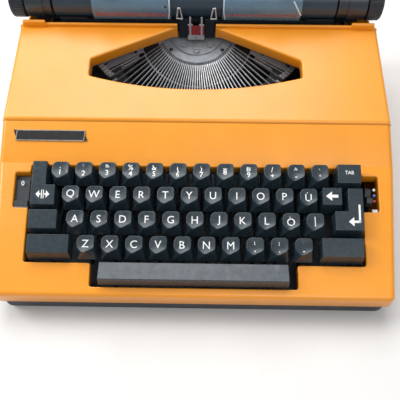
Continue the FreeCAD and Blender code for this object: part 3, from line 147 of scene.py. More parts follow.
# Every finish on the machine.
MATERIALS = {
    "casing": surface(
        "orange_casing", (0.84, 0.300, 0.004), 0.38, tone=0.05, tone_size=40, grain=0.30, grain_size=0.7,
        rough_swing=0.06, dust=0.05, coat=0.35, specular=0.6),
    "tray": surface(
        "black_tray", (0.016, 0.022, 0.032), 0.55, grain=0.6, grain_size=1.1, dust=0.10,
        grain_depth=0.15),
    "rubber": surface("black_rubber", (0.012, 0.013, 0.015), 0.75, grain=0.5, grain_size=0.6, dust=0.12),
    "key": surface(
        "key_slate", (0.018, 0.031, 0.040), 0.28, tone=0.12, tone_size=9, grain=0.35, grain_size=0.35,
        rough_swing=0.10, dust=0.06),
    "legend": surface("legend_white", (0.80, 0.82, 0.80), 0.5, tone=0.08, tone_size=2, grain=0.1),
    "switch_mark": surface("switch_white", (0.70, 0.72, 0.70), 0.5, tone=0.08, tone_size=2, grain=0.1),
    "segment": surface(
        "segment_casting", (0.36, 0.38, 0.41), 0.48, metal=0.6, tone=0.18, tone_size=6, grain=0.6,
        grain_size=0.35, rough_swing=0.12, scratches=0.15),
    # Slug nickel: the near-white, mostly diffuse colour is partly the metal's own brightness and partly a
    # painted highlight standing in for its shine.
    "slug": surface(
        "slug_nickel_painted_shine", (0.90, 0.91, 0.93), 0.30, metal=0.35, tone=0.15, tone_size=2, grain=0.3,
        grain_size=0.3),
    "typebar": surface(
        "typebar_nickel", (0.74, 0.76, 0.79), 0.34, metal=0.75, tone=0.20, tone_size=5, grain=0.3,
        grain_size=0.3, stretch=(4, 0.3, 0.3), rough_swing=0.12),
    "plate_left": surface(
        "plate_lilac", (0.50, 0.49, 0.58), 0.40, metal=0.3, tone=0.10, tone_size=10, grain=0.2,
        grain_size=0.4),
    "plate_right": surface(
        "plate_grey", (0.66, 0.67, 0.71), 0.40, metal=0.3, tone=0.10, tone_size=10, grain=0.2,
        grain_size=0.4),
    "lever": surface(
        "lever_steel", (0.030, 0.032, 0.034), 0.5, metal=0.5, tone=0.2, tone_size=6, dust=0.1),
    "wire": surface(
        "wire_bright", (0.66, 0.69, 0.72), 0.35, metal=0.5, tone=0.08, tone_size=4, grain=0.1),
    "steel": surface(
        "ground_steel", (0.58, 0.59, 0.60), 0.28, metal=1.0, tone=0.12, tone_size=8, grain=0.25,
        grain_size=0.3, stretch=(0.1, 3, 3), rough_swing=0.10, scratches=0.1),
    "frame": surface("frame_enamel", (0.060, 0.062, 0.066), 0.45, metal=0.2, tone=0.15, dust=0.18),
    "guide": surface(
        "guide_black", (0.018, 0.026, 0.036), 0.42, metal=0.3, tone=0.15, tone_size=6, grain=0.3,
        grain_size=0.4, dust=0.08),
    "platen": surface(
        "platen_rubber", (0.026, 0.050, 0.076), 0.34, tone=0.10, tone_size=25, grain=0.4, grain_size=0.5,
        stretch=(0.3, 1, 1), rough_swing=0.06, dust=0.05),
    "knob": surface(
        "knob_black", (0.016, 0.022, 0.030), 0.40, tone=0.12, grain=0.3, grain_size=0.5, dust=0.08),
    "housing": surface(
        "housing_black", (0.022, 0.032, 0.042), 0.34, tone=0.10, grain=0.2, dust=0.06, coat=0.15),
    "carriage": surface("carriage_enamel", (0.025, 0.032, 0.040), 0.45, tone=0.15, dust=0.15, grain=0.4),
    "motor": surface("motor_enamel", (0.20, 0.21, 0.22), 0.45, metal=0.4, tone=0.12, dust=0.15),
    "felt": surface(
        "rest_felt", (0.035, 0.040, 0.050), 0.95, tone=0.3, tone_size=2, grain=1.0, grain_size=0.35,
        sheen=0.4, grain_depth=0.2),
    "ribbon_red": surface(
        "ribbon_red", (0.33, 0.035, 0.035), 0.70, tone=0.25, tone_size=3, grain=0.8, grain_size=0.3,
        stretch=(1, 1, 3), grain_depth=0.1),
    "badge_face": surface(
        "badge_face", (0.018, 0.016, 0.015), 0.30, tone=0.2, tone_size=5, grain=0.3, grain_size=0.3,
        coat=0.4, scratches=0.1),
    "badge": surface(
        "badge_metal", (0.62, 0.60, 0.56), 0.30, metal=1.0, tone=0.10, tone_size=12, grain=0.4,
        grain_size=0.25, stretch=(0.06, 3, 3), scratches=0.1),
    "red_ink": surface("scale_red", (0.45, 0.030, 0.045), 0.5, tone=0.15, tone_size=2, grain=0.1),
    "black_ink": surface("scale_black", (0.010, 0.011, 0.013), 0.5, tone=0.15, tone_size=2, grain=0.1),
    "blue_ink": surface("dot_blue", (0.05, 0.16, 0.55), 0.45, tone=0.10, tone_size=1, grain=0.1),
    "inlet": surface("inlet_black", (0.014, 0.014, 0.015), 0.5, grain=0.4, dust=0.08),
    # Clear acrylic: the blue-grey base colour is partly a painted reflection of the sky in the holders.
    "clear": surface(
        "clear_acrylic_painted_reflection", (0.19, 0.33, 0.45), 0.16, tone=0.10, tone_size=14, grain=0.08, rough_swing=0.08,
        alpha=0.50, coat=0.6, scratches=0.1),
    # Painted highlight: a pale colour for the thin strips where the holders' edges catch the light.
    "edge": surface("acrylic_edge_painted_highlight", (0.62, 0.74, 0.82), 0.20, tone=0.05, tone_size=5, grain=0.05),
}
BASKET_ORIGIN, BASKET_TILT = (-1.3, 99.2, 82.8), math.radians(22.7)
DISC_RADIUS, COMB_BLACK = 39.0, [0.035, 0.037, 0.042]


def darken_comb(material, radius_mm, shade):
    """Blacken the comb outside the casting's disc, by the distance from the fan's axis."""
    tree = material.node_tree
    shader = tree.nodes["Principled BSDF"]
    coords = add_node(material, "ShaderNodeTexCoord").outputs["Object"]
    turn = add_node(material, "ShaderNodeMapping")
    turn.vector_type = "TEXTURE"
    turn.inputs["Location"].default_value = [value * MM for value in BASKET_ORIGIN]
    turn.inputs["Rotation"].default_value = (BASKET_TILT, 0.0, 0.0)
    link(material, coords, turn.inputs["Vector"])
    flat = tree.nodes.new("ShaderNodeVectorMath")
    flat.operation = "MULTIPLY"
    flat.inputs[1].default_value = (1.0, 1.0, 0.0)
    link(material, turn.outputs["Vector"], flat.inputs[0])
    reach = tree.nodes.new("ShaderNodeVectorMath")
    reach.operation = "LENGTH"
    link(material, flat.outputs["Vector"], reach.inputs[0])
    share = spread(material, reach.outputs["Value"], 0.0, 1.0, radius_mm * MM, (radius_mm + 0.4) * MM)
    before = shader.inputs["Base Color"].links[0].from_socket
    link(material, mix_color(material, share, before, shade), shader.inputs["Base Color"])


darken_comb(MATERIALS["segment"], DISC_RADIUS, COMB_BLACK)

# ---------------------------------------------------------------- mesh helpers


def soften(piece, width, steps, angle):
    """Round the edges that are sharper than an angle in degrees."""
    edge = piece.modifiers.new("edges", "BEVEL")
    edge.width = width * MM
    edge.segments = steps
    edge.limit_method = "ANGLE"
    edge.angle_limit = math.radians(angle)


def build(name, verts_mm, faces, finish, body, smooth=True, bevel=0.0, steps=3, weighted=True, solid=0.0):
    """One piece from vertices in millimetres, with its finish, riding on a body."""
    mesh = bpy.data.meshes.new(name)
    mesh.from_pydata([Vector(point) * MM for point in verts_mm], [], faces)
    mesh.validate()
    piece = bpy.data.objects.new(name, mesh)
    scene.collection.objects.link(piece)
    work = bmesh.new()
    work.from_mesh(mesh)
    bmesh.ops.remove_doubles(work, verts=work.verts, dist=0.002 * MM)
    bmesh.ops.recalc_face_normals(work, faces=work.faces)
    work.to_mesh(mesh)
    work.free()
    for polygon in mesh.polygons:
        polygon.use_smooth = smooth
    mesh.materials.append(MATERIALS[finish])
    if solid:
        shell = piece.modifiers.new("thickness", "SOLIDIFY")
        shell.thickness = solid * MM
        shell.offset = -1
        shell.use_even_offset = True
    if bevel:
        soften(piece, bevel, steps, 32)
    if weighted and smooth:
        normals = piece.modifiers.new("normals", "WEIGHTED_NORMAL")
        normals.keep_sharp = True
    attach(piece, body)
    return piece


def end_faces(count):
    """The two ends of a block between two outlines with this many corners."""
    return [tuple(range(count)), tuple(range(2 * count - 1, count - 1, -1))]


def side_faces(count):
    return [(i, i + count, (i + 1) % count + count, (i + 1) % count) for i in range(count)]


def prism(outline, x_low, x_high):
    """Vertices and faces of a (y, z) outline extruded along x."""
    verts = [(x_pos, y_pos, z_pos) for x_pos in (x_low, x_high) for y_pos, z_pos in outline]
    return verts, end_faces(len(outline)) + side_faces(len(outline))


def merge(parts):
    """Join several (vertices, faces) pairs."""
    verts, faces = [], []
    for part_verts, part_faces in parts:
        start = len(verts)
        verts += list(part_verts)
        faces += [tuple(index + start for index in face) for face in part_faces]
    return verts, faces


def box(x_low, x_high, y_low, y_high, z_low, z_high):
    return prism([(y_low, z_low), (y_high, z_low), (y_high, z_high), (y_low, z_high)], x_low, x_high)


def lathe(profile, centre, segments=24):
    """Turn an (x, radius) profile round an axis along x through a (y, z) centre."""
    centre_y, centre_z = centre
    verts, faces = [], []
    for column in range(segments):
        angle = math.radians(360.0 * column / segments)
        for x_pos, radius in profile:
            verts.append((x_pos, centre_y + radius * math.cos(angle), centre_z + radius * math.sin(angle)))
    rows = len(profile)
    for column in range(segments):
        here, there = column * rows, (column + 1) % segments * rows
        faces += [(here + row, here + row + 1, there + row + 1, there + row) for row in range(rows - 1)]
    return verts, faces


def rod(x_low, x_high, centre, radius, chamfer=0.2):
    rim = radius - chamfer
    return lathe([(x_low, 0.0), (x_low, rim), (x_low + chamfer, radius), (x_high - chamfer, radius),
                  (x_high, rim), (x_high, 0.0)], centre)


def round_corner(before, corner, after, radius, steps):
    """Points of an arc that replaces a corner."""
    corner = Vector(corner)
    towards = (Vector(before) - corner).normalized()
    away = (Vector(after) - corner).normalized()
    angle = math.acos(max(-1.0, min(1.0, towards.dot(away))))
    if radius <= 0 or angle > math.pi - 1e-3:
        return [tuple(corner)]
    reach = radius / math.tan(angle / 2)
    centre = corner + (towards + away).normalized() * (radius / math.sin(angle / 2))
    start, end = corner + towards * reach - centre, corner + away * reach - centre
    sweep = math.pi - angle
    points = []
    for step in range(steps + 1):
        share = step / steps
        mixed = start * math.sin((1 - share) * sweep) + end * math.sin(share * sweep)
        points.append(tuple(centre + mixed / math.sin(sweep)))
    return points


def round_path(points, radii, steps):
    """An open path with rounded corners."""
    path = [points[0]]
    for index in range(1, len(points) - 1):
        path += round_corner(points[index - 1], points[index], points[index + 1], radii[index], steps)
    return path + [points[-1]]


def round_outline(points, radii, steps):
    """A closed outline with rounded corners: the same number of points for any radii above zero."""
    outline = []
    for index, corner in enumerate(points):
        after = points[(index + 1) % len(points)]
        outline += round_corner(points[index - 1], corner, after, radii[index], steps)
    return outline


def bridge(first, second, count):
    """Quads between two rings of vertices that start at these indices."""
    return [(first + i, first + (i + 1) % count, second + (i + 1) % count, second + i) for i in range(count)]


BOX_FACES = [(0, 1, 2, 3), (4, 5, 6, 7)] + bridge(0, 4, 4)


def inside(point, outline):
    """Even and odd crossing test."""
    x_pos, y_pos = point
    hit = False
    for index, (x_one, y_one) in enumerate(outline):
        x_two, y_two = outline[index - 1]
        if (y_one > y_pos) != (y_two > y_pos):
            if x_pos < (x_two - x_one) * (y_pos - y_one) / (y_two - y_one) + x_one:
                hit = not hit
    return hit


def fill_flat(outer, holes):
    """Triangles that fill an outline apart from its holes. Returns (points, faces)."""
    points, edges = [], []
    for ring in [outer] + holes:
        start = len(points)
        points += [Vector((x_pos, y_pos)) for x_pos, y_pos in ring]
        edges += [(start + i, start + (i + 1) % len(ring)) for i in range(len(ring))]
    found = geometry.delaunay_2d_cdt(points, edges, [], 0, 1e-5)
    kept = []
    for face in found[2]:
        middle = sum((found[0][i] for i in face), Vector((0, 0))) / len(face)
        if inside(middle, outer) and not any(inside(middle, ring) for ring in holes):
            kept.append(tuple(face))
    return [tuple(point) for point in found[0]], kept


# ---------------------------------------------------------------- casing

FRONT_Y, PLATE_BACK_Y, CREASE_Y, COVER_BACK_Y, REAR_Y = -147.6, -44.0, -10.5, 83.8, 147.6
FRONT_Z, PLATE_BACK_Z, CREASE_Z, COVER_BACK_Z, FOOT_Z = 31.4, 64.05, 82.75, 98.0, 17.2
PLATE_SLOPE = (PLATE_BACK_Z - FRONT_Z) / (PLATE_BACK_Y - FRONT_Y)
FACE_SLOPE = (CREASE_Z - PLATE_BACK_Z) / (CREASE_Y - PLATE_BACK_Y)
COVER_SLOPE = (COVER_BACK_Z - CREASE_Z) / (COVER_BACK_Y - CREASE_Y)
HALF_WIDTHS = [(FRONT_Y, 159.5), (PLATE_BACK_Y, 166.9), (CREASE_Y, 165.4), (COVER_BACK_Y, 164.2),
               (REAR_Y, 163.0)]
REAR_TOP_Z, REAR_CORNER, INLET_X, INLET_Z = 84.6, 8.0, (88.8, 115.2), (24.8, 45.2)
PRINT_X = -1.3
SEAM_Y = -13.5
EDGE_STEPS = 6


def half_width(y_pos, z_pos):
    """The casing's half width: wider at the key plate's back, leaning in as it rises."""
    for (y_one, w_one), (y_two, w_two) in zip(HALF_WIDTHS, HALF_WIDTHS[1:]):
        if y_pos <= y_two or y_two == REAR_Y:
            share = (y_pos - y_one) / (y_two - y_one)
            return w_one + (w_two - w_one) * share - 0.05 * (z_pos - FOOT_Z)


def plate_height(y_pos):
    return FRONT_Z + PLATE_SLOPE * (y_pos - FRONT_Y)


def face_height(y_pos):
    return PLATE_BACK_Z + FACE_SLOPE * (y_pos - PLATE_BACK_Y)


def cover_height(y_pos):
    return CREASE_Z + COVER_SLOPE * (y_pos - CREASE_Y)


def inward_normals(path):
    normals = []
    for index in range(len(path)):
        before = Vector(path[max(index - 1, 0)])
        after = Vector(path[min(index + 1, len(path) - 1)])
        run = (after - before).normalized()
        normals.append((run.y, -run.x))
    return normals


def casing_skin(path, radius, foot, flat_rows, flat_fill):
    """The outside of a casing part. Rows follow a (y, z) path; each side edge is rounded and a
    side wall goes down to foot(y). Rows between flat_rows are left to flat_fill."""
    verts, faces = [], []
    columns = EDGE_STEPS + 1
    rows = []
    for (y_pos, z_pos), (in_y, in_z) in zip(path, inward_normals(path)):
        row = {}
        for side in (-1, 1):
            row[side] = len(verts)
            for step in range(columns):
                turn = math.pi / 2 * step / EDGE_STEPS
                drop = radius * (1 - math.cos(turn))
                y_now, z_now = y_pos + in_y * drop, z_pos + in_z * drop
                x_now = half_width(y_now, z_now) - radius * (1 - math.sin(turn))
                verts.append((side * x_now, y_now, z_now))
        rows.append(row)
    low_row, high_row = flat_rows
    for index in range(len(rows) - 1):
        for side in (-1, 1):
            here, there = rows[index][side], rows[index + 1][side]
            faces += [(here + k, here + k + 1, there + k + 1, there + k) for k in range(EDGE_STEPS)]
        if not low_row <= index < high_row:
            faces.append((rows[index][-1], rows[index][1], rows[index + 1][1], rows[index + 1][-1]))
    for side in (-1, 1):
        add_side_wall(verts, faces, [row[side] + EDGE_STEPS for row in rows], side, foot)
    outer = [verts[rows[index][1]][:2] for index in range(low_row, high_row + 1)]
    outer += [verts[rows[index][-1]][:2] for index in range(high_row, low_row - 1, -1)]
    parts = [(verts, faces)] + flat_fill(outer)
    return merge(parts)


def add_side_wall(verts, faces, edge, side, foot):
    """Close the side below a run of edge vertices."""
    columns = []
    for vertex in edge:
        x_pos, y_pos, z_pos = verts[vertex]
        if columns and abs(y_pos - columns[-1][0]) < 0.02:
            columns[-1][1].append(vertex)
        else:
            columns.append([y_pos, [vertex]])
    ready = []
    for y_pos, members in columns:
        ordered = sorted(members, key=lambda vertex: verts[vertex][2])
        bottom_z = foot(y_pos)
        bottom = None
        if verts[ordered[0]][2] > bottom_z + 0.01:
            bottom = len(verts)
            verts.append((side * half_width(y_pos, bottom_z), y_pos, bottom_z))
        ready.append(([bottom] if bottom is not None else []) + ordered)
    for left, right in zip(ready, ready[1:]):
        faces.append(tuple(left + right[::-1]))


def contour_strip(outline_at, height, radius, depth, steps=5, closed=True):
    """A rounded edge and a wall going down round an opening. Returns the strip and its outer ring."""
    rings = []
    for step in range(steps + 1):
        turn = math.pi / 2 * step / steps
        ring = outline_at(radius * (1 - math.sin(turn)))
        drop = radius * (1 - math.cos(turn))
        rings.append([(x_pos, y_pos, height(y_pos) - drop) for x_pos, y_pos in ring])
    last = outline_at(0.0)
    rings.append([(x_pos, y_pos, height(y_pos) - depth) for x_pos, y_pos in last])
    count = len(rings[0])
    verts = [point for ring in rings for point in ring]
    used = count if closed else count - 1
    faces = []
    for index in range(len(rings) - 1):
        faces += bridge(index * count, (index + 1) * count, count)[:used]
    return (verts, faces), [point[:2] for point in rings[0]]


def well_outline(grow):
    """The cut-out round the keys, the space bar and the two side windows, corners rounded."""
    left, right = -136.3 - grow, 137.0 + grow
    bar = 82.5 + grow
    row_front, bar_front, back = -122.4 - grow, -140.4 - grow, -45.6 + grow
    window_left, window_right = -149.0 - grow, 150.3 + grow
    window_front, window_back = -80.2 - grow, -51.6 + grow
    points = [
        (-bar, bar_front), (bar, bar_front), (bar, row_front), (right, row_front),
        (right, window_front), (window_right, window_front), (window_right, window_back),
        (right, window_back), (right, back), (left, back), (left, window_back),
        (window_left, window_back), (window_left, window_front), (left, window_front),
        (left, row_front), (-bar, row_front),
    ]
    notched = {2, 4, 7, 10, 13, 15}
    radii = [1.7 - grow if index in notched else 1.7 + grow for index in range(len(points))]
    return round_outline(points, radii, 4)


def rear_panel(x_top, x_foot):
    """The right half of the rear wall, with the opening for the mains inlet."""
    verts = [(0.0, REAR_Y, FOOT_Z), (0.0, REAR_Y, REAR_TOP_Z)]
    for x_pos in INLET_X:
        verts += [(x_pos, REAR_Y, z_pos) for z_pos in (FOOT_Z, *INLET_Z, REAR_TOP_Z)]
    verts += [(x_foot, REAR_Y, FOOT_Z), (x_top, REAR_Y, REAR_TOP_Z)]
    faces = [(0, 2, 3, 4, 5, 1), (2, 6, 7, 3), (4, 8, 9, 5), (6, 10, 11, 9, 8, 7)]
    return verts, faces


def bottom_flange():
    """The in-turned foot of the side and rear walls, over the edge of the tray."""
    parts = []
    for side in (-1, 1):
        outer = [(side * (half_width(y_pos, FOOT_Z) - 0.4), y_pos, FOOT_Z + 0.2)
                 for y_pos in (-144.0, -96.0, PLATE_BACK_Y, CREASE_Y, 35.0, COVER_BACK_Y, 138.0)]
        inner = [(side * 154.0, point[1], FOOT_Z + 0.2) for point in outer]
        count = len(outer)
        parts.append((outer + inner, [(i, i + 1, i + 1 + count, i + count) for i in range(count - 1)]))
    rear = [(-160.0, 146.9), (160.0, 146.9), (160.0, 138.0), (-160.0, 138.0)]
    parts.append(([(x_pos, y_pos, FOOT_Z + 0.2) for x_pos, y_pos in rear], [(0, 1, 2, 3)]))
    return parts


def wall_columns(side):
    """Where a side wall turns: its x at the top, its x at the foot, y, and the height of the top."""
    seam_z = face_height(SEAM_Y)
    tops = [(SEAM_Y + 2.2, seam_z - 4.6), (SEAM_Y + 2.4, seam_z - 4.6), (SEAM_Y + 7.5, seam_z - 11.0),
            (30.0, 76.0), (COVER_BACK_Y + 4.0, 85.6), (COVER_BACK_Y + 4.4, REAR_TOP_Z), (120.0, REAR_TOP_Z)]
    columns = [(side * half_width(y_pos, top), side * half_width(y_pos, FOOT_Z), y_pos, top)
               for y_pos, top in tops]
    for step in range(9):
        turn = math.pi / 2 * step / 8
        inset = REAR_CORNER * (1 - math.cos(turn))
        columns.append((side * (half_width(REAR_Y, REAR_TOP_Z) - inset),
                        side * (half_width(REAR_Y, FOOT_Z) - inset),
                        REAR_Y - REAR_CORNER + REAR_CORNER * math.sin(turn), REAR_TOP_Z))
    return columns


def body_shell():
    """Keyboard plate, slanted face, side walls and rear wall."""
    path = round_path(
        [(FRONT_Y, FOOT_Z), (FRONT_Y, FRONT_Z), (PLATE_BACK_Y, PLATE_BACK_Z), (SEAM_Y, face_height(SEAM_Y))],
        [0, 4.5, 3.0, 0], 6)
    strip, ring = contour_strip(well_outline, plate_height, 1.1, 8.5)

    def fill(outer):
        points, triangles = fill_flat(outer, [ring])
        return [([(x_pos, y_pos, plate_height(y_pos)) for x_pos, y_pos in points], triangles), strip]

    skin = casing_skin(path, 4.5, lambda y_pos: FOOT_Z, (7, len(path) - 8), fill)
    walls = []
    for side in (-1, 1):
        columns = wall_columns(side)
        if side > 0:
            walls.append(rear_panel(columns[-1][0], columns[-1][1]))
        else:
            columns.append((0.0, 0.0, REAR_Y, REAR_TOP_Z))
        verts = []
        for x_top, x_foot, y_pos, top in columns:
            verts += [(x_top, y_pos, top), (x_foot, y_pos, FOOT_Z)]
        faces = [(2 * i, 2 * i + 1, 2 * i + 3, 2 * i + 2) for i in range(len(columns) - 1)]
        walls.append((verts, faces))
    walls += bottom_flange()
    verts, faces = merge([skin] + walls)
    shell = build("casing_body", verts, faces, "casing", "machine", solid=2.4)
    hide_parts("body_shell")


def opening_outline(grow):
    """The edge of the fan-shaped opening, from its right rear end round to its left rear end."""
    slope = (82.4 - 48.2) / (92.0 - 17.0)
    side_shift = grow * math.hypot(1, slope)
    rear = COVER_BACK_Y - 2.4
    corner_x, tip_y, front_y = 92.2 + grow, 31.2, 18.6
    corner_y = 48.2 + side_shift - slope * (corner_x - 92.0)
    start_x = 17.0 + (82.4 + side_shift - rear) / slope
    radius = 343.6 + grow
    centre_y = front_y + 343.6

    def on_arc(x_pos):
        return x_pos, centre_y - math.sqrt(radius ** 2 - x_pos ** 2)

    tip = on_arc(corner_x)
    near = [(start_x, rear)]
    near += round_corner((start_x, rear), (corner_x, corner_y), tip, 3.0 + grow, 5)
    along = on_arc(corner_x - 8.0)
    near += round_corner((corner_x, corner_y), tip, along, 2.5 + grow, 5)
    count = 24
    middle = [on_arc(along[0] * (1 - 2 * step / count)) for step in range(1, count)]
    far = [(-x_pos, y_pos) for x_pos, y_pos in reversed(near)]
    whole = near + [along] + middle + [(-along[0], along[1])] + far
    return [(x_pos + PRINT_X, y_pos) for x_pos, y_pos in whole]


def ribbon_cover():
    """The top cover: its opening has a rolled edge, and its rear edge an upstand with two ears."""
    rear = COVER_BACK_Y - 2.4
    path = round_path([(SEAM_Y + 0.15, face_height(SEAM_Y + 0.15)), (CREASE_Y, CREASE_Z),
                       (-6.0, cover_height(-6.0))], [0, 3.5, 0], 7)
    path.append((rear, cover_height(rear)))
    strip, ring = contour_strip(opening_outline, cover_height, 1.6, 9.6, 6, closed=False)

    def foot(y_pos):
        front, back = SEAM_Y + 7.5, COVER_BACK_Y + 4.0
        low = face_height(SEAM_Y) - 11.0
        if y_pos < front:
            share = (y_pos - SEAM_Y - 2.0) / 5.5
            return face_height(SEAM_Y) - 3.5 - 7.5 * max(0.0, share) + 0.4
        return low + (85.6 - low) * (y_pos - front) / (back - front) + 0.35

    def fill(outer):
        half = len(outer) // 2
        notched = outer[:half] + ring + outer[half:]
        points, triangles = fill_flat(notched, [])
        return [([(x_pos, y_pos, cover_height(y_pos)) for x_pos, y_pos in points], triangles), strip]

    verts, faces = casing_skin(path, 3.6, foot, (8, len(path) - 1), fill)
    cover = build("casing_cover", verts, faces, "casing", "cover", solid=2.3)
    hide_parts("ribbon_cover")
    for side, label in ((-1, "left"), (1, "right")):
        inner = PRINT_X + side * 17.2
        edge_low, edge_high = sorted((inner, side * 160.0))
        lip_low, lip_high = sorted((inner, side * 157.4))
        back = COVER_BACK_Y
        edge = prism([(rear - 0.2, 86.6), (back, 86.6), (back, COVER_BACK_Z),
                      (rear - 0.2, cover_height(rear - 0.2))], edge_low, edge_high)
        lip = prism([(back - 2.2, 95.0), (back - 2.5, 100.6), (back - 0.1, 101.0), (back - 0.1, 95.0)],
                    lip_low, lip_high)
        rim = build("cover_rim_" + label, *merge([edge, lip]), "casing", "cover", bevel=0.7)
        ear = prism([(back - 2.6, 96.5), (back - 3.2, 103.4), (back - 0.1, 103.9), (back - 0.1, 96.5)],
                    146.5 * side - 10.2, 146.5 * side + 10.2)
        tab = build("cover_ear_" + label, *ear, "casing", "cover", bevel=1.1)


# ---------------------------------------------------------------- keys

KEY_PITCH, ROW_DEPTH, ROW_RISE, ROW4_Y, ROW4_TOP, FIRST_KEY_X = 19.05, 18.84, 6.5, -112.0, 53.0, -108.93
LEVER_ROD, LEVER_HALF = (40.0, 12.5), 0.7
ROW_STARTS = {1: 0.0, 2: 0.5, 3: 0.75, 4: 1.25}
ROW_LEGENDS = {
    1: [":\n1", "\"\n2", "=\n3", "%\n4", "&\n5", "(\n6", ")\n7", "_\n8", "#\n9", "/\n+", "^\n-", "`\n'"],
    2: list("QWERTYUIOP") + ["Ü"],
    3: list("ASDFGHJKL") + ["Ö", "|"],
    4: list("ZXCVBNM") + ["?\n,", "!\n.", "'\n-"],
}
CAP_TILT = math.radians(12)


def row_place(row):
    steps = 4 - row
    return ROW4_Y + steps * ROW_DEPTH, ROW4_TOP + steps * ROW_RISE


def cap_ring(top_share):
    """The cap's outline between its square skirt (0) and its drop-shaped top (1)."""
    skirt = [(8.45, 8.0), (-8.45, 8.0), (-8.45, -2.0), (-8.45, -8.4), (8.45, -8.4)]
    skirt_radii = [1.6, 1.6, 0.01, 1.8, 1.8]
    top = [(6.8, 6.6), (-6.9, 6.6), (-6.9, -3.4), (-1.9, -8.0), (6.8, -3.4)]
    top_radii = [2.6, 4.4, 4.6, 2.6, 3.2]
    outline = []
    for points, radii in ((skirt, skirt_radii), (top, top_radii)):
        ring = []
        for index, corner in enumerate(points):
            after = points[(index + 1) % len(points)]
            arc = round_corner(points[index - 1], corner, after, radii[index], 8)
            if len(arc) < 9:
                arc = [(corner[0], corner[1] + 2.0 - 0.5 * k) for k in range(9)]
            ring += arc
        outline.append(ring)
    return [((1 - top_share) * a[0] + top_share * b[0], (1 - top_share) * a[1] + top_share * b[1])
            for a, b in zip(*outline)]


def cap_surface(x_pos, y_pos):
    """Height of the dished top above its rim plane, at a place on the cap."""
    dish = 0.95 * max(0.0, 1.0 - (x_pos ** 2 + (y_pos + 0.4) ** 2) / 52.0)
    return math.tan(CAP_TILT) * y_pos - dish


def letter_cap(x_pos, y_pos, z_top):
    """Rings of one letter cap, from the skirt to the middle of the dish."""
    count = len(cap_ring(0))
    verts, faces = [], []
    levels = [(0.0, -12.5), (0.04, -12.2), (0.5, -6.6), (0.9, -1.8)]
    for share, drop in levels:
        for ring_x, ring_y in cap_ring(share):
            lean = math.tan(CAP_TILT) * ring_y * share
            verts.append((x_pos + ring_x, y_pos + ring_y, z_top + drop + lean))
    for scale, sink in ((0.995, -0.45), (0.965, -0.10), (0.925, 0.0), (0.88, 0.0), (0.6, 0.0), (0.3, 0.0)):
        for ring_x, ring_y in cap_ring(1.0):
            here_x, here_y = ring_x * scale, ring_y * scale
            edge = math.tan(CAP_TILT) * here_y
            inner = cap_surface(here_x, here_y)
            height = edge + sink if scale > 0.93 else inner
            verts.append((x_pos + here_x, y_pos + here_y, z_top + height))
    rings = len(levels) + 6
    for ring in range(rings - 1):
        faces += bridge(ring * count, (ring + 1) * count, count)
    centre = len(verts)
    verts.append((x_pos, y_pos, z_top + cap_surface(0, 0)))
    start = (rings - 1) * count
    faces += [(start + i, start + (i + 1) % count, centre) for i in range(count)]
    faces.append(tuple(range(count)))
    return verts, faces


def lever(x_pos, y_key, z_cap):
    """A sheet lever with its eye on the rod and its upright stem."""
    low, high = x_pos - LEVER_HALF, x_pos + LEVER_HALF
    eye = lathe([(low, 3.1), (low, 4.2), (high, 4.2), (high, 3.1), (low, 3.1)], LEVER_ROD, 20)
    front = prism([(36.6, 10.1), (y_key - 2.2, 15.5), (y_key - 2.2, z_cap), (y_key + 2.2, z_cap),
                   (y_key + 2.2, 20.5), (36.6, 15.3)], low, high)
    return merge([front, eye])


def flat(x_pos, y_pos):
    return 0.0


def legend(words, x_pos, y_pos, z_top, height, surface_at=cap_surface):
    """Raised ink of a key legend, laid on the cap's top."""
    curve = bpy.data.curves.new("mark", "FONT")
    curve.body = words
    curve.align_x = curve.align_y = "CENTER"
    curve.size = height
    curve.space_line = 0.86
    curve.offset = 0.010 * height if height < 7 else 0.0
    curve.resolution_u = 3
    text = bpy.data.objects.new("mark_curve", curve)
    scene.collection.objects.link(text)
    bpy.context.view_layer.update()
    graph = bpy.context.evaluated_depsgraph_get()
    mesh = text.evaluated_get(graph).to_mesh()
    points = [tuple(vertex.co) for vertex in mesh.vertices]
    faces = [tuple(polygon.vertices) for polygon in mesh.polygons]
    text.evaluated_get(graph).to_mesh_clear()
    bpy.data.objects.remove(text)
    if not points:
        return [], []
    low_x, high_x = min(p[0] for p in points), max(p[0] for p in points)
    low_y, high_y = min(p[1] for p in points), max(p[1] for p in points)
    verts = []
    for point in points:
        here_x = point[0] - (low_x + high_x) / 2 - 0.3
        here_y = point[1] - (low_y + high_y) / 2
        verts.append((x_pos + here_x, y_pos + here_y, z_top + surface_at(here_x, here_y) + 0.05))
    return verts, faces


def letter_rows():
    """Caps, legends and levers of the four rows; the H key rides on its own body."""
    for row, words in ROW_LEGENDS.items():
        y_pos, z_top = row_place(row)
        marks, arms = [], []
        for index, word in enumerate(words):
            x_pos = FIRST_KEY_X + (ROW_STARTS[row] + index) * KEY_PITCH
            body = "home_key" if word == "H" else "row_%d" % row
            shape = letter_cap(x_pos, y_pos, z_top)
            cap = build("cap_%d_%02d" % (row, index), *shape, "key", body, weighted=False)
            text = legend(word, x_pos, y_pos, z_top, 6.2 if "\n" in word else 8.6)
            stem = lever(x_pos, y_pos, z_top - 11.5)
            if word == "H":
                build("mark_h", *text, "legend", body, smooth=False)
                build("lever_h", *stem, "lever", body, smooth=False)
            else:
                marks.append(text)
                arms.append(stem)
        build("marks_row_%d" % row, *merge(marks), "legend", "row_%d" % row, smooth=False)
        levers = build("levers_row_%d" % row, *merge(arms), "lever", "row_%d" % row, smooth=False)
        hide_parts("keys_row_%d" % row)
    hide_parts("key_h")


def keyboard_height(y_pos):
    return ROW4_TOP + ROW_RISE / ROW_DEPTH * (y_pos - ROW4_Y)


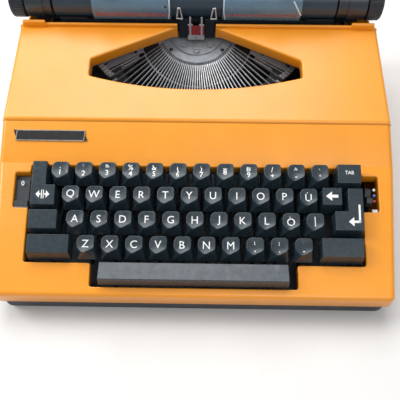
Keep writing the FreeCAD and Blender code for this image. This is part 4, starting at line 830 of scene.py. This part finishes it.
def block_cap(outline, flare, height, level=None):
    """A flat cap with sloping sides from its top outline."""
    count = len(outline)
    area = sum(outline[i - 1][0] * outline[i][1] - outline[i][0] * outline[i - 1][1] for i in range(count))
    turn = 1 if area > 0 else -1
    top, low = [], []
    for index, (x_pos, y_pos) in enumerate(outline):
        shift = Vector((0, 0))
        following = outline[(index + 1) % count]
        for start, end in ((outline[index - 1], (x_pos, y_pos)), ((x_pos, y_pos), following)):
            run = (Vector(end) - Vector(start)).normalized()
            shift += Vector((run.y, -run.x)) * turn
        z_pos = level if level is not None else keyboard_height(y_pos)
        skirt = (x_pos + shift.x * flare, y_pos + shift.y * flare)
        skirt_z = (level if level is not None else keyboard_height(skirt[1])) - height
        top.append((x_pos, y_pos, z_pos))
        low.append((skirt[0], skirt[1], skirt_z))
    return low + top, end_faces(count) + side_faces(count)


def rectangle(x_low, x_high, y_low, y_high):
    return [(x_low, y_low), (x_high, y_low), (x_high, y_high), (x_low, y_high)]


def special_keys():
    """Wide and L-shaped keys, with their levers and the shift keys' bail."""
    margin = [(-131.2, -83.0), (-112.2, -83.0), (-112.2, -67.6), (-119.8, -67.6), (-119.8, -49.2),
              (-131.2, -49.2)]
    back = [(111.6, -99.6), (134.0, -99.6), (134.0, -67.6), (122.4, -67.6), (122.4, -85.2), (111.6, -85.2)]
    table = [
        ("margin_release_key", "margin_key", margin, -127.0, 2),
        ("tab_key", "tabulator_key", rectangle(114.8, 133.4, -63.4, -49.0), 117.5, 1),
        ("backspace_key", "back_key", rectangle(102.2, 117.4, -80.4, -67.4), 106.5, 2),
        ("return_key", "carriage_return_key", back, 125.0, 3),
        ("shift_lock_key", "lock_key", rectangle(-131.8, -109.2, -101.2, -86.8), -122.5, 3),
    ]
    for node, body, outline, lever_x, row in table:
        y_pos = row_place(row)[0]
        cap = build(node + "_cap", *block_cap(outline, 1.1, 12.5), "key", body, bevel=0.45)
        stem = lever(lever_x, y_pos, keyboard_height(y_pos) - 11.0)
        arm = build(node + "_lever", *stem, "lever", body, smooth=False)
        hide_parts(node)
    y_pos, z_top = row_place(4)
    arms = []
    for side, x_low, x_high, lever_x in (("left", -131.6, -98.6, -118.0), ("right", 100.6, 133.2, 129.5)):
        outline = rectangle(x_low, x_high, -119.4, -105.6)
        cap = build("shift_cap_" + side, *block_cap(outline, 1.1, 12.5), "key", "shift_pair", bevel=0.45)
        arms += [lever(lever_x, y_pos, z_top - 11.5),
                 box(lever_x - LEVER_HALF, lever_x + LEVER_HALF, 43.4, 48.0, 11.0, 14.0)]
    arms.append(rod(-118.7, 130.2, (48.0, 12.5), 2.0))
    link_rod = build("shift_levers", *merge(arms), "lever", "shift_pair", smooth=False)
    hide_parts("shift_keys")
    bar = block_cap(rectangle(-74.4, 74.4, -138.6, -124.2), 0.9, 10.5, 45.0)
    cap = build("space_cap", *bar, "key", "spacer", bevel=0.5)
    arms = [lever(FIRST_KEY_X + step * KEY_PITCH / 4, -131.0, 35.5) for step in (9.5, 35.5)]
    arm = build("space_levers", *merge(arms), "lever", "spacer", smooth=False)
    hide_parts("space_bar")


# ---------------------------------------------------------------- marks and small parts


def flat_marks(shapes, lift=0.04):
    """Printed shapes laid on the sloping tops of the wide keys."""
    parts = []
    for shape in shapes:
        parts.append(([(x, y, keyboard_height(y) + lift) for x, y in shape], [tuple(range(len(shape)))]))
    return merge(parts)


def key_symbols():
    """Margin release, backspace, return and tab marks."""
    mid_x, mid_y = -121.8, -75.2
    shapes = []
    for side in (-1, 1):
        base_x = mid_x + side * 2.7
        shapes.append([(mid_x + side * 5.6, mid_y), (base_x, mid_y - 2.9), (base_x, mid_y + 2.9)])
        for near, far, half in ((1.6, 2.8, 0.7), (0.4, 1.1, 3.3)):
            ends = sorted((mid_x + side * near, mid_x + side * far))
            shapes.append(rectangle(*ends, mid_y - half, mid_y + half))
    build("mark_margin", *flat_marks(shapes), "legend", "margin_key", smooth=False)
    mid_x, mid_y = 109.6, -73.9
    shapes = [[(mid_x - 5.0, mid_y), (mid_x - 0.2, mid_y - 3.6), (mid_x - 0.2, mid_y + 3.6)],
              rectangle(mid_x - 0.3, mid_x + 4.8, mid_y - 1.1, mid_y + 1.1)]
    build("mark_backspace", *flat_marks(shapes), "legend", "back_key", smooth=False)
    shapes = [[(121.9, -93.2), (126.3, -96.7), (126.3, -89.7)], rectangle(126.2, 131.6, -94.1, -92.3),
              rectangle(130.0, 131.6, -94.1, -80.2)]
    build("mark_return", *flat_marks(shapes), "legend", "carriage_return_key", smooth=False)
    points, faces = legend("TAB", 124.4, -55.4, 0.0, 3.9, flat)
    points = [(x, y, keyboard_height(y) + 0.04) for x, y, z in points]
    build("mark_tab", points, faces, "legend", "tabulator_key", smooth=False)


PLATEN_Y, PLATEN_Z, HOLDER_RADIUS = 102.8, 112.2, 18.55


def platen_point(x_pos, angle, radius):
    turn = math.radians(angle)
    return (x_pos, PLATEN_Y + radius * math.cos(turn), PLATEN_Z + radius * math.sin(turn))


def curved_strip(x_low, x_high, start, end, radius, steps=6, shift=0.0):
    """A thin printed strip on a cylinder round the platen's axis."""
    verts, faces = [], []
    for step in range(steps + 1):
        share = step / steps
        angle = start + (end - start) * share
        verts += [platen_point(x_pos + shift * share, angle, radius) for x_pos in (x_low, x_high)]
    faces = [(2 * i, 2 * i + 1, 2 * i + 3, 2 * i + 2) for i in range(steps)]
    return verts, faces


def card_holder_marks():
    """Letter scales, pointer dots, and bright strips along the clear card holders' edges that are painted
    highlights.
    """
    ticks = []
    for step in range(31):
        x_pos = PRINT_X - 24.4 - 2.12 * step
        length = 0 if step % 5 else 2
        for middle, start, end in ((x_pos, 182, 196 + length), (2 * PRINT_X - x_pos, 184, 192 + length)):
            ticks.append(curved_strip(middle - 0.42, middle + 0.42, start, end, HOLDER_RADIUS, 3))
    build("holder_scale", *merge(ticks), "red_ink", "machine", smooth=False)
    # The strips below are painted highlights along the holders' edges.
    edges = []
    for side in (-1, 1):
        inner = PRINT_X + side * 23.3
        low, high = sorted((inner, inner + side * 1.0))
        edges.append(curved_strip(low, high, 141, 178, 18.6, 12))
        edges.append(curved_strip(low, high, 178, 212, 18.6, 8, shift=side * 1.6))
    edges.append(curved_strip(82.0, 83.4, 146, 186, 18.62, 12, shift=7.5))
    build("holder_edge_painted_highlights", *merge(edges), "edge", "machine", solid=0.1)
    dots = []
    for x_pos in (-28.5, 23.0):
        turns = [k * math.pi / 6 for k in range(12)]
        ring = [platen_point(x_pos + math.cos(turn), 165 + 3.1 * math.sin(turn), HOLDER_RADIUS)
                for turn in turns]
        dots.append((ring, [tuple(range(12))]))
    build("holder_dots", *merge(dots), "black_ink", "machine", smooth=False)


def basket_point(radius, angle, height):
    """A place in the tilted fan, in world millimetres."""
    turn = math.radians(angle)
    x_pos, y_pos = radius * math.sin(turn), -radius * math.cos(turn)
    return (BASKET_ORIGIN[0] + x_pos,
            BASKET_ORIGIN[1] + y_pos * math.cos(BASKET_TILT) - height * math.sin(BASKET_TILT),
            BASKET_ORIGIN[2] + y_pos * math.sin(BASKET_TILT) + height * math.cos(BASKET_TILT))


CONE_START = 35.6


def cone_height(radius):
    return -(radius - CONE_START) * math.tan(math.radians(15.5))


def fan_block(angle, thickness, profile):
    """A radial (radius, height) outline given thickness, set at an angle in the fan."""
    half = [math.degrees(thickness / 2 / max(radius, 20.0)) for radius, height in profile]
    verts = [basket_point(radius, angle - turn, height) for (radius, height), turn in zip(profile, half)]
    verts += [basket_point(radius, angle + turn, height) for (radius, height), turn in zip(profile, half)]
    count = len(profile)
    return verts, end_faces(count) + bridge(0, count, count)


def outer_slugs():
    """Slug heads that stick out past the ends of the side plates, on bars under the plates."""
    parts = []
    for side in (-1, 1):
        for step in range(5):
            angle = side * (64.3 + 2.1 * step)
            end = 95.5 + 1.3 * step
            base = cone_height(end)
            root = cone_height(60.0)
            bar = [(60.0, root - 5.5), (60.0, root - 3.2), (end, base - 2.0), (end, base - 4.4)]
            head = [(end - 5.2, base - 3.0), (end - 5.2, base + 3.6), (end, base + 2.6), (end, base - 4.0)]
            parts += [fan_block(angle, 0.8, bar), fan_block(angle, 2.6, head)]
    return parts


BAR_COUNT, HOME_BAR = 44, 22


def type_slugs():
    """The two raised characters on each type slug, and a bright cap on each slug; their brightness is partly
    the nickel's own colour and partly painted highlight.
    """
    parts, solo = [], []
    for index in range(BAR_COUNT):
        share = (2 * index - BAR_COUNT + 1) / (BAR_COUNT - 1)
        angle = 50.5 * share + 11.5 * share ** 3
        base = cone_height(94.0)
        half = math.degrees(1.25 / 92.0)
        proud = 5.32 if index == HOME_BAR else 5.55
        for low, high in ((88.8, 91.0), (91.7, 94.1)):
            corners = []
            for height in (base + 3.4, base + proud):
                shrink = 0.8 if height > base + 4 else 1.0
                for radius, side in ((low, -1), (low, 1), (high, 1), (high, -1)):
                    slope = -0.27 * (radius - 91)
                    corners.append(basket_point(radius, angle + side * half * shrink, height + slope))
            (solo if index == HOME_BAR else parts).append((corners, BOX_FACES))
    parts += outer_slugs()
    build("type_faces", *merge(parts), "slug", "basket", bevel=0.15, steps=2)
    build("type_face_h", *merge(solo), "slug", "typebar", bevel=0.15, steps=2)


def basket_screws():
    """Black screws of the fan, two of them on its disc."""
    heads = []
    for radius, angle in ((44.9, -66.2), (44.9, 66.2), (33.0, -46.8), (33.0, 46.8), (62.0, -68.6)):
        centre = Vector(basket_point(radius, angle, cone_height(max(radius, CONE_START)) + 1.4))
        place = Vector(basket_point(radius, angle, 0))
        across = (Vector(basket_point(radius, angle + 1, 0)) - place).normalized()
        along = (Vector(basket_point(radius + 1, angle, 0)) - place).normalized()
        up = across.cross(along)
        rings = []
        for size, lift in ((1.35, 0.0), (1.35, 0.35), (1.0, 0.6), (0.5, 0.6), (0.45, 0.2)):
            for turn in [k * math.pi / 8 for k in range(16)]:
                rings.append(tuple(centre + across * size * math.cos(turn) + along * size * math.sin(turn)
                                   - up * lift))
        faces = []
        for ring in range(4):
            faces += bridge(ring * 16, (ring + 1) * 16, 16)
        faces.append(tuple(range(64, 80)))
        heads.append((rings, faces))
    build("fan_screws", *merge(heads), "black_ink", "basket")


def badge_frame():
    """A bright raised border round the blank name plate."""
    normal = Vector((0, -FACE_SLOPE, 1)).normalized()

    def place(u, v):
        y_pos = -23.9 + v
        return (-121.0 + u + v * 0.16, y_pos, face_height(y_pos))

    def strip(u_low, u_high, v_low, v_high):
        ring = [place(u_low, v_low), place(u_high, v_low), place(u_high, v_high), place(u_low, v_high)]
        verts = [tuple(Vector(p) + normal * lift) for lift in (0.6, 1.02) for p in ring]
        return verts, BOX_FACES

    parts = [strip(-28.6, 28.6, -3.9, -3.3), strip(-28.6, 28.6, 3.3, 3.9),
             strip(-28.6, -28.0, -3.9, 3.9), strip(28.0, 28.6, -3.9, 3.9)]
    build("badge_border", *merge(parts), "badge", "machine", smooth=False)


def window_marks():
    """The switch's figure, its bright sill, and the ribbon selector's colour dots."""
    slope = Vector((0, 1, PLATE_SLOPE)).normalized()
    normal = Vector((0, -PLATE_SLOPE, 1)).normalized()
    points, faces = legend("0", -142.2, -60.2, 0.0, 5.4, flat)
    plate = [(x, y, plate_height(y) - 1.15) for x, y, z in points]
    build("mark_switch", plate, faces, "switch_mark", "switch", smooth=False)
    for label, x_low, x_high in (("left", -148.4, -137.4), ("right", 145.2, 149.6)):
        sill = prism([(-80.0, plate_height(-80) - 5.0), (-76.6, plate_height(-76.6) - 5.0),
                      (-76.6, plate_height(-76.6) - 3.4), (-80.0, plate_height(-80) - 2.4)], x_low, x_high)
        build("window_sill_" + label, *sill, "plate_right", "machine", bevel=0.3)
    for finish, y_pos in (("switch_mark", -61.5), ("blue_ink", -66.0), ("red_ink", -70.5)):
        centre = Vector((147.3, y_pos, plate_height(y_pos) - 2.2))
        ring = []
        for lift in (-1.0, 0.0):
            for turn in [k * math.pi / 8 for k in range(16)]:
                level = centre + Vector((1.1 * math.cos(turn), 0, 0)) + slope * 1.1 * math.sin(turn)
                ring.append(tuple(level + normal * lift))
        build("selector_dot_" + finish, ring, bridge(0, 16, 16) + [tuple(range(16, 32))], finish, "machine")


# ---------------------------------------------------------------- finishes on plain CAD nodes


CAD_FINISHES = {
    "base_tray": ("tray", 0.5), "rubber_feet": ("rubber", 0.4), "badge_plate": ("badge_face", 0.2),
    "frame_side_left": ("frame", 0.2), "frame_side_right": ("frame", 0.2),
    "frame_cross_bars": ("frame", 0.2), "lever_fulcrum_rod": ("steel", 0), "carriage_rails": ("steel", 0.2),
    "type_guide": ("guide", 0.15), "card_holder_left": ("clear", 0), "card_holder_right": ("clear", 0),
    "card_wires": ("wire", 0), "switch_housing": ("inlet", 0), "drive_motor": ("motor", 0.4),
    "drive_belt": ("rubber", 0), "mains_inlet": ("inlet", 0.3), "type_segment": ("segment", 0),
    "typebars": ("typebar", 0), "typebar_h": ("typebar", 0), "typebar_ring": ("typebar", 0),
    "basket_plate_left": ("plate_left", 0.1), "basket_plate_right": ("plate_right", 0.1),
    "type_rest": ("felt", 0.4), "ribbon_vibrator": ("wire", 0), "ribbon": ("ribbon_red", 0),
    "ribbon_spool_left": ("knob", 0.1), "ribbon_spool_right": ("knob", 0.1),
    "carriage_bed": ("carriage", 0.2), "carriage_end_left": ("housing", 0.5),
    "carriage_end_right": ("housing", 0.5), "platen": ("platen", 0.4), "platen_shaft": ("steel", 0.3),
    "platen_knob_left": ("knob", 0), "platen_knob_right": ("knob", 0),
    "feed_roller_front": ("rubber", 0.3), "feed_roller_rear": ("rubber", 0.3),
    "paper_table": ("carriage", 0.3), "paper_bail": ("steel", 0), "bail_rollers": ("rubber", 0.3),
    "paper_release_lever": ("steel", 0.2), "margin_stop_left": ("steel", 0.3),
    "margin_stop_right": ("steel", 0.3), "motor_pulley": ("steel", 0), "power_roll": ("rubber", 0),
    "power_switch": ("knob", 0.3), "ribbon_selector": ("knob", 0.3),
}


def dress_cad_nodes():
    """Give each shown CAD node its finish and soft edges."""
    for node, (finish, bevel) in CAD_FINISHES.items():
        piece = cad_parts[node]
        piece.data.materials.clear()
        piece.data.materials.append(MATERIALS[finish])
        if bevel:
            soften(piece, bevel, 2, 40)


# ---------------------------------------------------------------- studio


def studio():
    """Pale floor, soft daylight and the photographer's viewpoint."""
    floor = bpy.data.meshes.new("floor")
    floor.from_pydata([(-4, -4, 0), (4, -4, 0), (4, 4, 0), (-4, 4, 0)], [], [(0, 1, 2, 3)])
    ground = bpy.data.objects.new("floor", floor)
    scene.collection.objects.link(ground)
    pale = surface("studio_floor", (0.74, 0.73, 0.71), 0.8, tone=0.03, tone_size=90, grain=0.1)
    ground.data.materials.append(pale)
    world = bpy.data.worlds.new("sky")
    scene.world = world
    world.use_nodes = True
    sky = world.node_tree.nodes["Background"]
    sky.inputs["Color"].default_value = (0.93, 0.95, 1.0, 1.0)
    sky.inputs["Strength"].default_value = 0.42
    for name, place, target, size, power, color in (
            ("ceiling_light", (-0.15, 0.70, 1.32), (0, 0.05, 0.05), 1.1, 18.0, (0.96, 0.98, 1.0)),
            ("key_light", (-1.2, 0.25, 1.1), (0, 0, 0.05), 0.7, 16.0, (1.0, 0.98, 0.95)),
            ("fill_light", (0.35, -1.0, 1.35), (0, 0.05, 0.05), 0.8, 6.0, (1.0, 0.96, 0.92))):
        data = bpy.data.lights.new(name, "AREA")
        data.energy = power
        data.size = size
        data.color = color
        lamp = bpy.data.objects.new(name, data)
        lamp.location = place
        aim = Vector(target) - Vector(place)
        lamp.rotation_mode = "QUATERNION"
        lamp.rotation_quaternion = aim.to_track_quat("-Z", "Y")
        scene.collection.objects.link(lamp)
    camera_data = bpy.data.cameras.new("view")
    camera_data.sensor_width = 36.0
    camera_data.lens = 47.45
    camera_data.clip_start = 0.01
    camera = bpy.data.objects.new("view", camera_data)
    scene.collection.objects.link(camera)
    right = Vector((0.99987046, 0.01607860, -0.00074442))
    up = Vector((-0.01345463, 0.86029273, 0.50962279))
    back = Vector((0.00883441, -0.50954675, 0.86039762))
    matrix = Matrix((right, up, back)).transposed().to_4x4()
    matrix.translation = Vector((0.0080, -0.2921, 0.4258))
    camera.matrix_world = matrix
    scene.camera = camera
    scene.view_settings.view_transform = "Standard"
    scene.view_settings.look = "None"


def main():
    body_shell()
    ribbon_cover()
    letter_rows()
    special_keys()
    key_symbols()
    card_holder_marks()
    type_slugs()
    basket_screws()
    badge_frame()
    window_marks()
    dress_cad_nodes()
    studio()


main()
